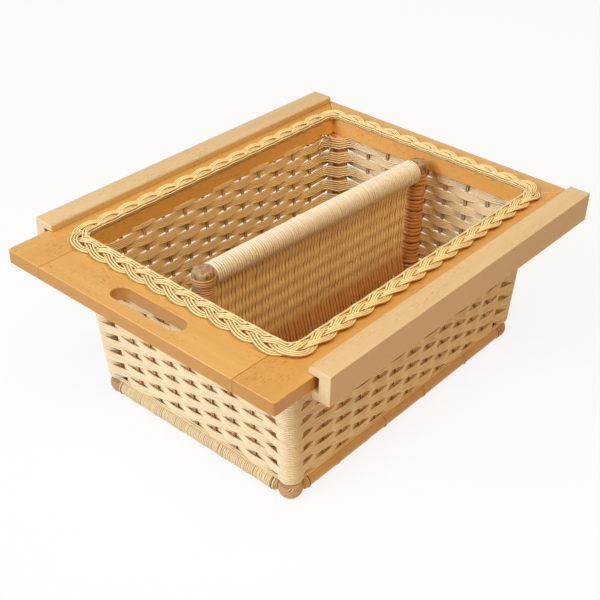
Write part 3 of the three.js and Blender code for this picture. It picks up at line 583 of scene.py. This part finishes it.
# %% Weaving one wall
SWING = 2.3
TURNS = 8                                             # turns round a post in the height of two bands
OUTSIDE_POST, INSIDE_POST = 2 * PITCH / TURNS, 2.9    # pitch of canes at a post
ROUND_POST, INNER_TURN = 11.0, 9.2                    # post axis to a cane outside it and inside it
TURN_STEPS, LEAD_STEPS, STAKE_STEPS = 5, 6, 6         # stations round a post, up to it, between stakes
LATE, FANNED, OPENED = 8, 1.5, 0.8                    # powers for the inner corner, its fan, and a stake
DRIFT, DRIFT_PACE = 0.12, 0.23                        # each cane's own slow wave
END_DIP, END_SLIDE = 0.5, 0.3                         # how far a cane's end goes under its neighbours
POST_SWEEP = np.radians(50)                           # how far a cane goes round a post
FIRST_STAKE = 1.5                                     # post to first stake, in gaps between stakes
CHANGED = (-1, 1)                                     # the corner where odd bands pass outside
HEADER = np.array([[-2.0], [-1.4], [-0.8], [-0.2]])   # places of the canes above the bands


def ease(t):
    """A soft step from 0 to 1: t * t * (3 - 2t)."""
    return t * t * (3 - 2 * t)


def woven(wall, band, strand, swing_in=SWING, fan=INSIDE_POST, drop=0.0):
    """Paths of canes of a wall, as (canes, stations, 3), from their band and their place in it.

    In the middle: out = stand-out + swing * side, with side = -cos(pi * stake) for even bands and
    its opposite for odd ones; height = band centre + cane number * pitch, which is widest at a stake.
    At the ends the path eases from the last stake to the post: outside it for even bands, with
    part of a turn whose end dips under the next wall's cane, and to the inner corner for odd ones,
    as the eighth power of the way, where the pitch has grown to fan and the height is less by drop.
    """
    normal, along, first, second, stakes, _ = WALLS[wall]
    even = band % 2 == 0
    turn = np.linspace(1, 0, TURN_STEPS + 1)[:-1]
    lead = np.linspace(0, 1, LEAD_STEPS + 1)[:-1]
    middle = np.linspace(0, stakes - 1, (stakes - 1) * STAKE_STEPS + 1)
    sign = np.where(even, -1.0, 1.0)
    last_sign = sign * np.cos(np.pi * (stakes - 1))
    still = np.zeros((len(band), len(turn)))
    side = np.concatenate([still, sign * ease(lead), sign * np.cos(np.pi * middle),
                           last_sign * ease(lead)[::-1], still], axis=1)
    near = np.concatenate([1 + 0 * turn, 1 - ease(lead), 0 * middle, 1 - ease(lead)[::-1], 1 + 0 * turn])
    along_lead = np.concatenate([0 * turn, lead, 1 + 0 * middle, lead[::-1], 0 * turn])
    first_half = np.arange(side.shape[1]) < side.shape[1] / 2
    outside = even ^ np.where(first_half, first == CHANGED, second == CHANGED)
    near = np.where(outside, near, (1 - along_lead) ** LATE)
    spacing = CANE_PITCH + (AT_STAKE[wall] - CANE_PITCH) * np.abs(side) ** OPENED
    spread_out = np.where(outside, near, (1 - along_lead) ** FANNED)
    spacing = spacing * (1 - spread_out) + np.where(outside, OUTSIDE_POST, fan) * spread_out
    centre = WEAVE_HIGH - (band + 0.5) * PITCH
    phase = ANY_PHASE * chance.random((len(band), 1))
    drift = DRIFT * np.sin(np.arange(side.shape[1]) * DRIFT_PACE + phase) * (1 - near)
    z = centre + strand * spacing + drift - drop * near ** 0.3
    out = stand_out(wall, z) + np.where(side > 0, SWING, swing_in) * side
    gap = 1 / (stakes + 2)
    share = np.concatenate([0 * turn, FIRST_STAKE * gap * lead, (FIRST_STAKE + middle) * gap,
                            1 - FIRST_STAKE * gap * lead[::-1], 1 + 0 * turn])
    share = np.broadcast_to(share, z.shape)
    at_post = np.where(outside, ROUND_POST, -INNER_TURN)
    out = out * (1 - near) + at_post * near
    points = wall_point(wall, share, z, out)
    bend = np.concatenate([turn, 0 * lead, 0 * middle, 0 * lead, -turn[::-1]])
    angle = np.abs(bend) * POST_SWEEP
    dipped = ROUND_POST - END_DIP * (np.abs(bend) > 0.9)
    reach = np.sign(bend) * dipped * np.sin(angle)
    settle = np.where(outside, dipped * np.cos(angle) - ROUND_POST, 0)
    inner = np.concatenate([1 + 0 * turn, 1 - lead, 0 * middle, lead[::-1] - 1, -1 + 0 * turn])
    slide = np.where(outside, -reach, INNER_TURN * inner - END_SLIDE * bend)
    points[..., :2] += slide[..., None] * np.array(along) + settle[..., None] * np.array(normal)
    return points


band = np.repeat(np.arange(BANDS), CANES)[:, None]
strand = np.tile(np.arange(CANES) - (CANES - 1) / 2, BANDS)[:, None]
for wall, (normal, *_) in WALLS.items():
    paths = woven(wall, band, strand)
    header = woven(wall, np.full(HEADER.shape, -1), HEADER, swing_in=0.3, fan=3.6, drop=2.8)
    canes = wind(np.concatenate([paths, header]), CANE_R, (*normal, 0.0))
    lay(wall + "_weave", [canes], "wall_cane",
        stands_for=[wall + "_weave_outside_posts", wall + "_weave_inside_posts"])

# %% [markdown]
# ## Stakes and liner boards
# A stake is a pair of stout canes that stands on the bottom rail and goes up behind the liner.
# The liner is a thin board all round the mouth, which covers the stakes' upper ends.

# %% Stakes and liners
LINER_LOW, LINER_X, LINER_FRONT, LINER_BACK, LINER = 167.0, 129.0, -171.0, 197.5, 4.0
STAKE_R, BEHIND_LINER, LINER_ARRIS = 1.05, 5.0, 0.6
STAKE_HEIGHTS = np.concatenate([np.linspace(20, 160, 12), [168, 178]])    # the last two: behind the liner


def oblong(x0, x1, y0, y1):
    """The four corners of a rectangle, anticlockwise."""
    return [(x0, y0), (x1, y0), (x1, y1), (x0, y1)]


liner_loops = {
    "front": oblong(FIT - LINER_X, LINER_X - FIT, LINER_FRONT - LINER, LINER_FRONT),
    "back": oblong(FIT - LINER_X, LINER_X - FIT, LINER_BACK, LINER_BACK + LINER),
    "right": oblong(LINER_X, LINER_X + LINER, LINER_FRONT - LINER, LINER_BACK + LINER)}
liner_loops["left"] = [(-x, y) for x, y in liner_loops["right"]]
stake_line = {"front": BEHIND_LINER - LINER_FRONT, "back": LINER_BACK + BEHIND_LINER,
              "right": LINER_X + BEHIND_LINER, "left": LINER_X + BEHIND_LINER}
for wall, (normal, along, _, _, stakes, _) in WALLS.items():
    share = np.repeat((FIRST_STAKE + np.arange(stakes)) / (stakes + 2), 2)[:, None] + 0 * STAKE_HEIGHTS
    aside = np.tile([-STAKE_R, STAKE_R], stakes)[:, None, None] * np.array((*along, 0.0))
    z = np.broadcast_to(STAKE_HEIGHTS, share.shape)
    line = wall_point(wall, share, z, stand_out(wall, z))
    reach = (line[:, -2:, :2] * np.array(normal)).sum(-1, keepdims=True)
    line[:, -2:, :2] += (stake_line[wall] - reach) * np.array(normal)
    stakes_made = wind(line + aside, STAKE_R, (*normal, 0.0), sides=7)
    lay(wall + "_stakes", [stakes_made], "stake_cane")
    wood = "liner_beech_across" if wall in ("front", "back") else "liner_beech_along"
    liner = board(facing(liner_loops[wall]), LINER_LOW, BOARD_HIGH, LINER_ARRIS)
    lay(wall + "_liner", [liner], wood, stands_for=[wall + "_liner_and_stakes"])

# %% [markdown]
# ## Wound corner posts and foot canes
# Every cane takes a turn round the post before it goes on, so each post is closely wound from
# foot to frame. The turns go round the outside and are tucked in behind the weave, so the bare
# pole shows inside the basket. Five turns lie under the canes of a band, and three more fill the
# room between that band and the next one that passes outside.
# At the foot of the walls two canes run from post to post and close the joint with the bottom
# rails. Their line is a rounded rectangle, as is the rim's later.

# %% Corner posts
CORNERS = {"front_left": (-1, -1), "front_right": (1, -1), "back_left": (-1, 1), "back_right": (1, 1)}
POST_R, TURN_R, UNDER_BAND, BESIDE_BAND = 9.3, 1.12, 10.2, 10.85
TURN_END, TUCK_FROM, TUCK_IN = 138, 112, 2.0    # degrees from the outer side, and how deep in mm
top_turn = WEAVE_HIGH - PITCH / 2 + (CANES - 1) / 2 * OUTSIDE_POST
number = np.arange(int((top_turn - POST_LOW) / OUTSIDE_POST))
heights = top_turn - OUTSIDE_POST * number
pole_z = np.linspace(POST_LOW, POST_HIGH, 9)
sweep = np.radians(np.linspace(-TURN_END, TURN_END, 24))
tucked = np.clip((np.abs(sweep) - np.radians(TUCK_FROM)) / np.radians(TURN_END - TUCK_FROM), 0, 1)
for name, (side, end) in CORNERS.items():
    centres = np.column_stack([post_axis(side, end, heights), heights])
    under = (number + np.where((side, end) == CHANGED, TURNS // 2, 0)) % TURNS < CANES
    sizes = np.where(under, UNDER_BAND, BESIDE_BAND) + chance.normal(0, 0.06, len(number))
    way = np.arctan2(end, side) + sweep
    away = trail(np.cos(way), np.sin(way), 0)
    turns = centres[:, None] + (sizes[:, None] - TUCK_IN * tucked)[..., None] * away
    lay(name + "_post_turns", [wind(turns, TURN_R, away)], "post_cane",
        stands_for=[name + "_inner_wrap"])
    pole = np.column_stack([post_axis(side, end, pole_z), pole_z])[None]
    lay(name + "_post_pole", [wind(pole, POST_R, OVER, sides=16)], "bare_rattan",
        stands_for=[name + "_post"])


# %% A rounded rectangle, and the foot canes on it
class Loop:
    """A rounded rectangle, level, that can be asked for points at a distance along it.

    Each corner is a quarter circle of points and the straight runs are the gaps between them;
    a distance is turned into a place and an outward direction by linear interpolation.
    """
    POINTS = 13          # on each corner

    def __init__(self, x, front, back, corner):
        centres = np.array([(x - corner, front + corner), (x - corner, back - corner),
                            (corner - x, back - corner), (corner - x, front + corner)])
        turn = np.radians(np.linspace(-90, 0, self.POINTS))[None] + QUARTER * np.arange(4)[:, None]
        self.away = np.stack([np.cos(turn), np.sin(turn)], axis=-1).reshape(-1, 2)
        self.line = centres.repeat(self.POINTS, axis=0) + corner * self.away
        self.line, self.away = (np.concatenate([a, a[:1]]) for a in (self.line, self.away))
        steps = np.linalg.norm(np.diff(self.line, axis=0), axis=1)
        self.reach = np.concatenate([[0], np.cumsum(steps)])
        self.length = self.reach[-1]

    def at(self, distance, aside, height, ahead=0.0):
        """Points at that distance along, moved aside outwards and ahead along the line."""
        s = np.asarray(distance) % self.length
        spot, out = (np.stack([np.interp(s, self.reach, table[:, i]) for i in (0, 1)], axis=-1)
                     for table in (self.line, self.away))
        out = unit(out)
        run = np.stack([-out[..., 1], out[..., 0]], axis=-1)
        flat = spot + np.asarray(aside)[..., None] * out + np.asarray(ahead)[..., None] * run
        return np.concatenate([flat, np.broadcast_to(height, flat.shape[:-1])[..., None]], axis=-1)


LINE_OUT = 10.9          # post axis to the line that the foot canes follow
foot_x, foot_front = post_axis(1, -1, POST_LOW)
foot_back = post_axis(1, 1, POST_LOW)[1]
foot_line = Loop(foot_x + LINE_OUT, foot_front - LINE_OUT, foot_back + LINE_OUT, LINE_OUT)
distance = np.linspace(0, foot_line.length, 480, endpoint=False)[None]
level = np.array([[20.6], [22.3]])
tuck = np.array([[-2.6], [-3.6]])
drift = 0.22 * np.sin(distance * 0.09 + level * 3)
foot_canes = foot_line.at(np.broadcast_to(distance, drift.shape), tuck + 0 * drift, level + drift)
lay("wale_of_the_walls", [wind(foot_canes, 1.02, UP, closed=True)], "wall_cane")

# %% [markdown]
# ## Bottom rails and feet
# Front and back rails are poles wound with fine cane. The side rails are bare rattan with a few
# thin ties. Where two rails meet a post, a knuckle is lashed with crossing turns of split cane,
# and it is the foot that the basket stands on.

# %% Rails
RAIL_Z, FRONT_RAIL_Y, BACK_RAIL_Y, SIDE_RAIL_X = 13.0, -156.2, 201.2, 120.7
RAIL_TURNS, RAIL_CANE, RAIL_CORE = (-104.3, 104.5, 2.15), 1.08, 6.6    # turns: first, end and pitch
RAIL_TIES, TIE_CANE = (-96.0, -93.9, -22.0, 42.0, 44.0, 118.0), 0.55
for name, y in (("front", FRONT_RAIL_Y), ("back", BACK_RAIL_Y)):
    spots = np.arange(*RAIL_TURNS)
    spots = spots + chance.normal(0, 0.06, len(spots))
    swell = 7.25 + 0.25 * np.sin(spots * 0.21) + chance.normal(0, 0.05, len(spots))
    turns = hoops(trail(spots, y, RAIL_Z), swell, RAIL_CANE, tilt=0.03, axis="x")
    pole = wind([trail(np.linspace(-106.0, 106.0, 5), y, RAIL_Z)], RAIL_CORE, UP, 12)
    lay(name + "_wound_rail", [turns, pole], "post_cane", stands_for=[name + "_bottom_rail"])
for name, side in (("left", -1), ("right", 1)):
    y = np.linspace(-141.5, 186.5, 60)
    knots = 7.45 + 0.12 * np.sin(y * 0.05) + 0.35 * np.exp(-((y % 104 - 52) / 2.2) ** 2)
    pole = wind([trail(side * SIDE_RAIL_X, y, RAIL_Z)], knots[None], UP, sides=24)
    lay(name + "_bare_rail", [pole], "rail_rattan", stands_for=[name + "_bottom_rail"])
    spots = trail(side * SIDE_RAIL_X, RAIL_TIES, RAIL_Z)
    ties = hoops(spots, 7.6, TIE_CANE, tilt=0.06, axis="y", stations=24)
    lay(name + "_rail_ties", [ties], "shade_cane")

# %% Feet
FOOT_MIDDLE, FOOT_R, LASH_R, FOOT_TIE_AWAY = 10.9, 10.9, 11.2, 12.6
z = np.concatenate([[0.15], np.linspace(1.2, 19.5, 12)])
bulge = FOOT_R * np.sqrt(np.clip(1 - ((z - 12.5) / 14.5) ** 2, 0, 1))
turn = 2 * np.pi * np.arange(32) / 32
offsets = np.linspace(-9.4, 9.4, 12)[:, None]
for name, (side, end) in CORNERS.items():
    x, y = post_axis(side, end, POST_LOW)
    centre = np.array((x, y, FOOT_MIDDLE))
    lash = []
    for across, over, proud in (((side, 0, 0.9), (0, 1, 0), 0.0), ((0, end, 0.9), (1, 0, 0), 0.35)):
        way = unit(np.array(across, dtype=float))
        size = np.sqrt(np.maximum((LASH_R + proud) ** 2 - offsets ** 2, 9.0))
        loop = (offsets[..., None] * way + (size * np.cos(turn))[..., None] * np.array(over)
                + (size * np.sin(turn))[..., None] * np.cross(way, over)) + centre
        loop[..., 2] = np.clip(loop[..., 2], 0.6, 19.0)
        lash.append(wind(loop, 1.05, loop - centre, closed=True, flat=0.45))
    core = wind([trail(x, y, z)], bulge[None], OVER, sides=24)
    lay(name + "_lashed_foot", [core] + lash, "foot_cane", stands_for=[name + "_foot"])
    rail_y = FRONT_RAIL_Y if end < 0 else BACK_RAIL_Y
    ends = hoops([(x - side * FOOT_TIE_AWAY, rail_y, RAIL_Z)], 8.0, 0.6, axis="x", stations=24)
    sides = hoops([(side * SIDE_RAIL_X, y - end * FOOT_TIE_AWAY, RAIL_Z)], 7.5, 0.6, axis="y", stations=24)
    lay(name + "_foot_ties", [ends, sides], "dark_tie")

# %% [markdown]
# ## Floor mat
# The bottom is a close mat: bands of six canes woven over and under long sticks.

# %% Floor mat
MAT_X, MAT_FRONT, MAT_BACK, MAT_Z, MAT_BANDS, MAT_CANES = 112.8, -147.6, 192.6, 13.0, 28, 6
MAT_PITCH, STICK_PITCH = 1.98, 25.06
band_wide = (MAT_BACK - MAT_FRONT) / MAT_BANDS
band, strand = np.divmod(np.arange(MAT_BANDS * MAT_CANES), MAT_CANES)
off_centre = strand - (MAT_CANES - 1) / 2
rows = MAT_FRONT + (band + 0.5) * band_wide + off_centre * MAT_PITCH
crown = 0.3 * np.cos(np.pi * off_centre / MAT_CANES)
x = np.linspace(-MAT_X, MAT_X, 73)
wave = (0.35 * np.cos(np.pi * x / STICK_PITCH))[None] * np.where(band % 2, 1, -1)[:, None]
cross = trail(x[None], rows[:, None], MAT_Z + wave)
stick_x = np.arange(-4, 5) * STICK_PITCH
sticks = trail(stick_x[:, None], np.linspace(MAT_FRONT, MAT_BACK, 6)[None], MAT_Z)
lay("woven_floor", [wind(cross, (0.98 + crown)[:, None], UP), wind(sticks, 0.8, UP)],
    "shade_cane", stands_for=["floor_mat"])

# %% [markdown]
# ## Plaited rim
# A plait of three strands, each of three canes, hides the joint between frame and liner. Seen from
# above a strand swings from side to side like a sine, and twice as fast it goes up and down, so
# it passes over one neighbour and under the other. The plait closes after three rounds, so each
# cane is one endless path, and it is wider along the front. Three straight canes and the trimmed
# ends lie along the inner edge.

# %% The rim's line
RIM_X, RIM_FRONT, RIM_BACK, RIM_CORNER, RIM_Z = 135.5, -177.5, 204.0, 17.0, 185.3
rim_line = Loop(RIM_X, RIM_FRONT, RIM_BACK, RIM_CORNER)
ROUND = rim_line.length
print("round the rim:", round(ROUND, 1), "mm")

# %% Plaiting
LOBES, PLAIT_SWING, PLAIT_RISE, PLAIT_R, PLAIT_STEP, EDGE_R = 50, 6.4, 1.5, 1.13, 2.1, 1.05
INWARD, FRONT_WIDER = 0.62, 0.32         # share of the swing inwards, and what the front adds outwards
PLAIT_OUT, PLAIT_Z = 0.9, 2.6            # the plait's middle, outside and above the rim's line
distance = np.linspace(0, 3 * ROUND, 1800, endpoint=False)[None]
phase = 2 * np.pi * LOBES * distance / (3 * ROUND)
wave = PLAIT_SWING * np.sin(phase)
wave = np.where(wave < 0, INWARD, 1.0) * wave
slope = np.arctan(PLAIT_SWING * 2 * np.pi * LOBES / (3 * ROUND) * np.cos(phase))
number = np.array([-1.0, 0.0, 1.0])[:, None]
aside = wave + number * PLAIT_STEP * np.cos(slope) + PLAIT_OUT
to_front = np.clip(-(rim_line.at(distance, 1, 0) - rim_line.at(distance, 0, 0))[..., 1], 0, 1)
aside = aside + FRONT_WIDER * to_front * np.clip(aside + 3, 0, None)
ahead = -number * PLAIT_STEP * np.sin(slope)
height = RIM_Z + PLAIT_Z + PLAIT_RISE * np.sin(2 * phase)
plait = rim_line.at(np.broadcast_to(distance, aside.shape), aside, height, ahead)
distance = np.linspace(0, ROUND, 420, endpoint=False)[None]
edge_phase = 2 * np.pi * LOBES * distance / ROUND
edge_aside = np.array([[-6.2], [-6.4], [-4.6]]) + 0.25 * np.sin(edge_phase)
edge_height = RIM_Z + np.array([[1.1], [3.1], [4.5]]) + 0.2 * np.cos(edge_phase)
edges = rim_line.at(np.broadcast_to(distance, edge_aside.shape), edge_aside, edge_height)
spots = (np.arange(LOBES) + 0.35)[:, None] * ROUND / LOBES + np.linspace(0, 5.5, 4)[None]
nub_aside = np.linspace(-1.6, -4.0, 4)[None] + 0 * spots
nubs = rim_line.at(spots, nub_aside, RIM_Z + 3.6 + np.linspace(-0.6, 0.9, 4)[None] + 0 * spots)
lay("plaited_cane_rim",
    [wind(plait, PLAIT_R, UP, closed=True), wind(edges, EDGE_R, UP, closed=True),
     wind(nubs, EDGE_R, UP, sides=7)], "plait_cane", stands_for=["plaited_rim"])

# %% [markdown]
# ## Divider
# The divider stands a little askew. Its posts carry a thick rod wound with fine cane, and from
# the rod hangs a panel of upright canes, rippled where they pass cross sticks, which forks at
# the bottom and straddles a second rod. It is built straight, and then turned and moved.

# %% Placing the divider
YAW, MOVE, POST_AWAY = np.radians(-1.2), np.array((0.75, 18.45, 0.0)), 159.55
ROD_HALF, ROD_CANE, ROD_TURNS = 152.55, 1.38, (-149.6, 150.0, 2.75)
ROD_Z, ROD_FALL, ROD_R, ROD_SWELL = 182.7, 7.6, 11.3, 2.0    # at the front, and the change to the back


def askew(x, y, z):
    """Points turned by the divider's yaw and moved to their place in the basket."""
    x, y, z = np.broadcast_arrays(x, y, z)
    return np.stack([x * np.cos(YAW) - y * np.sin(YAW), x * np.sin(YAW) + y * np.cos(YAW), z], -1) + MOVE


def rod_axis(y):
    """Height and radius of the rod: both change evenly from the front post to the back post."""
    t = (np.asarray(y) + ROD_HALF) / (2 * ROD_HALF)
    return ROD_Z - ROD_FALL * t, ROD_R + ROD_SWELL * t


# %% Wound rod
spots = np.arange(*ROD_TURNS)
spots = spots + chance.normal(0, 0.05, len(spots))
axis_z, rod_r = rod_axis(spots)
rod_r = rod_r - ROD_CANE + chance.normal(0, 0.06, len(spots))
core_y = np.linspace(-150.5, 150.5, 7)
core_z, core_r = rod_axis(core_y)
turns = hoops(askew(0, spots, axis_z), rod_r, ROD_CANE, tilt=0.02, axis="y", stations=28)
core = wind([askew(0, core_y, core_z)], (core_r - 2.0)[None], UP, sides=24)
lay("divider_wound_rod", [turns, core], "cream_cane", stands_for=["divider_rod"])

# %% Posts and binding
FRONT_TOP, BACK_TOP, DIVIDER_LOW = 191.7, 184.1, 14.9
z = np.concatenate([np.linspace(DIVIDER_LOW, 186.5, 30), [188.5, 190.2, 191.2, FRONT_TOP]])
shape = np.concatenate([np.full(29, 9.4), [10.2, 10.3, 10.1, 9.5, 8.4]])
turn, up_post = (2 * np.pi * np.arange(28) / 28)[None], z[:, None]
rough = 0.16 * np.sin(3 * turn + up_post * 0.31) + 0.12 * np.sin(7 * turn - up_post * 0.53)
stem = wind([askew(0, -POST_AWAY, z)], (shape[:, None] + rough)[None], OVER, sides=28)
lay("divider_front_post_bare", [stem], "weathered_pole", stands_for=["divider_front_post"])
spots = np.arange(DIVIDER_LOW + 1.2, 178.0, 2.3)
turns = hoops(askew(0, -POST_AWAY, spots), 9.7, 1.2, tilt=0.03, stations=24)
lay("divider_front_post_wrap", [turns], "shade_cane")
turns = hoops(askew(0, -POST_AWAY, [179.8, 182.0, 184.2]), 10.6, 1.15, tilt=0.03, stations=28)
lay("divider_binding_turns", [turns], "shade_cane", stands_for=["divider_binding"])
z = np.concatenate([np.linspace(DIVIDER_LOW, 180.5, 20), [182.6, 183.6, BACK_TOP]])
shape = np.concatenate([np.full(19, 8.9), [10.1, 10.0, 9.5, 8.6]])
stem = wind([askew(0, POST_AWAY, z)], shape[None], OVER, sides=28)
lay("divider_back_post_bare", [stem], "weathered_pole", stands_for=["divider_back_post"])
spots = np.arange(DIVIDER_LOW + 2.4, 172.0, 4.5)
spots = spots + chance.normal(0, 0.25, len(spots))
sizes = 9.6 + chance.normal(0, 0.2, len(spots))
turns = hoops(askew(0, POST_AWAY, spots), sizes, 2.4, tilt=0.07, stations=24, sides=8, flat=0.45)
lay("divider_back_post_wrap", [turns], "bare_rattan")

# %% Panel and bottom rod
PANEL_PITCH, PANEL_LOW, FORK_HIGH, FORK_KNEE, LEG_OUT, BOTTOM_Z = 4.6, 18.0, 79.0, 50.0, 8.4, 22.9
places = np.arange(-146.6, 143.0, PANEL_PITCH)
places = places + chance.normal(0, 0.15, len(places))
share = np.linspace(0, 1, 64)[None]
panel_high = rod_axis(places)[0][:, None] - 9.0
z = PANEL_LOW + (panel_high - PANEL_LOW) * share
ripple = np.cos(2 * np.pi * z / 16.0)
fork = np.clip((FORK_HIGH - z) / (FORK_HIGH - FORK_KNEE), 0, 1)
# painted shade: the panel is mixed towards its darker colour lower down, deeper in the basket
depth_shade = 0.9 * np.clip((135 - z) / 65, 0, 1)
thick = 2.45 + 0.28 * ripple * (1 - fork) - fork
layers = []
for side in (-1, 1):
    shift = np.where(side > 0, 0.0, PANEL_PITCH / 2)
    sway = 0.12 * np.sin(z * 0.11 + ANY_PHASE * chance.random((len(places), 1)))
    x = side * (1.3 + LEG_OUT * fork + 0.3 * ripple * (1 - fork))
    layers.append(askew(x, places[:, None] + shift + sway, z))
panel = wind(np.concatenate(layers), np.tile(thick, (2, 1)), OVER, sides=8, flat=0.72,
             shade=np.tile(depth_shade, (2, 1)))
lay("divider_panel_canes", [panel], "panel_cane", stands_for=["divider_panel"])
y = np.linspace(-148.7, 148.7, 30)
pole = wind([askew(0, y, BOTTOM_Z)], (7.85 + 0.12 * np.sin(y * 0.09))[None], UP, sides=20)
lay("divider_bottom_pole", [pole], "bare_rattan", stands_for=["divider_bottom_rod"])

# %% [markdown]
# ## Screw eye and wire ring
# A small eye is screwed into the left liner near the back, and a loose wire ring hangs in it.
# The ring swings, so it rides on its own body.

# %% Eye and ring
EYE, EYE_R, EYE_WIRE, SHANK = np.array((-121.1, 173.55, 172.0)), 2.1, 0.78, (-128.6, -126.0, -123.3)
RING_R, RING_WIRE, RING_DROP = 11.2, 0.75, 11.45
turn = 2 * np.pi * np.arange(28) / 28
eye = EYE + EYE_R * trail(np.cos(turn), 0, np.sin(turn))[None]
eye_wire = wind(eye, EYE_WIRE, eye - EYE, sides=10, closed=True)
shank = wind([trail(SHANK, EYE[1], EYE[2])], EYE_WIRE, UP, 10)
lay("screw_eye_wire", [eye_wire, shank], "bright_wire", stands_for=["screw_eye"])
turn = 2 * np.pi * np.arange(64) / 64
ring_centre = EYE - (0, 0, RING_DROP)
ring = ring_centre + RING_R * trail(0, np.cos(turn), np.sin(turn))[None]
lay("hanging_wire_ring", [wind(ring, RING_WIRE, ring - ring_centre, sides=10, closed=True)],
    "bright_wire", body="hanging_ring", stands_for=["wire_ring"])

# %% [markdown]
# ## Camera, floor and light
# The camera stands where straight lines of the frame met in the picture of the real basket. A
# large cool lamp at the front left lights the front wall and the inside of the back. A warm lamp
# above and a faint one at the right colour the wood and the side in shade. The floor is white
# for the camera and keeps a faint shadow.

# %% Camera
def stand(thing, spot, right, up, back):
    """Puts a camera or a lamp at a spot, by its right, upward and backward directions."""
    stance = np.eye(4)
    stance[:3] = np.column_stack([right, up, back, spot])
    thing.matrix_world = Matrix(stance.tolist())
    bpy.context.scene.collection.objects.link(thing)


azimuth, elevation, roll = np.radians((39.72, 34.0, 1.92))
level = np.array((np.cos(azimuth), np.sin(azimuth), 0.0))
back_way = np.cos(elevation) * np.cross(level, UP) + np.sin(elevation) * np.array(UP)
upright = np.cross(back_way, level)
right_way = np.cos(roll) * level + np.sin(roll) * upright
up_way = np.cos(roll) * upright - np.sin(roll) * level
camera = bpy.data.objects.new("camera", bpy.data.cameras.new("camera"))
camera.data.lens, camera.data.sensor_width, camera.data.clip_end = 67.47, 36.0, 50
stand(camera, (0.60489, -0.73557, 0.73223), right_way, up_way, back_way)
bpy.context.scene.camera = camera
print("camera lens", camera.data.lens, "mm")

# %% Floor and world
def white_when_seen(tree, plain, white, share, output):
    """Shows white to camera, glossy and transmission rays, by that share, and plain to all others."""
    rays = node(tree, "ShaderNodeLightPath").outputs
    seen = maths(tree, "MAXIMUM", rays["Is Camera Ray"], rays["Is Glossy Ray"])
    seen = maths(tree, "MAXIMUM", seen, rays["Is Transmission Ray"])
    blend = node(tree, "ShaderNodeMixShader", {0: maths(tree, "MULTIPLY", seen, share),
                                               1: plain.outputs[0], 2: white.outputs[0]})
    tree.links.new(blend.outputs[0], tree.nodes[output].inputs["Surface"])


floor_mesh = bpy.data.meshes.new("floor")
floor_mesh.from_pydata([(-6, -6, 0), (6, -6, 0), (6, 6, 0), (-6, 6, 0)], [], [(0, 1, 2, 3)])
floor = bpy.data.objects.new("floor", floor_mesh)
bpy.context.scene.collection.objects.link(floor)
tree, plain = blank("floor_white")
feed(tree, plain, {"Base Color": (0.9, 0.92, 0.96, 1), "Roughness": 1.0, "Specular IOR Level": 0.0})
glow = node(tree, "ShaderNodeEmission", {"Strength": 1.0})
white_when_seen(tree, plain, glow, 0.88, "Material Output")
floor_mesh.materials.append(bpy.data.materials["floor_white"])

world = bpy.data.worlds.new("studio")
bpy.context.scene.world = world
world.use_nodes = True
sky = world.node_tree.nodes["Background"]
feed(world.node_tree, sky, {"Color": (1, 0.86, 0.68, 1), "Strength": 0.03})
seen_sky = node(world.node_tree, "ShaderNodeBackground", {"Color": (1, 1, 1, 1), "Strength": 1.0})
white_when_seen(world.node_tree, sky, seen_sky, 1.0, "World Output")
print("floor and world ready")

# %% Lamps
AIM = (0, 0, 0.1)


def soft_lamp(name, spot, size, power, colour):
    """A square lamp at a spot, turned so that its face looks at the aim."""
    lamp = bpy.data.objects.new(name, bpy.data.lights.new(name, "AREA"))
    lamp.data.size, lamp.data.energy, lamp.data.color = size, power, colour
    back = unit(np.array(spot) - np.array(AIM))
    side = unit(np.cross(UP, back))
    stand(lamp, spot, side, np.cross(back, side), back)


soft_lamp("key_lamp", (-1.2, -3.4, 2.3), 2.6, 142, (0.9, 1, 1.14))
soft_lamp("warm_lamp", (1.15, -0.9, 3.9), 2.4, 101, (1, 0.84, 0.48))
soft_lamp("side_lamp", (2.9, -0.3, 2.6), 2.6, 33, (1, 0.5, 0.15))
bpy.context.scene.view_settings.view_transform = "Standard"
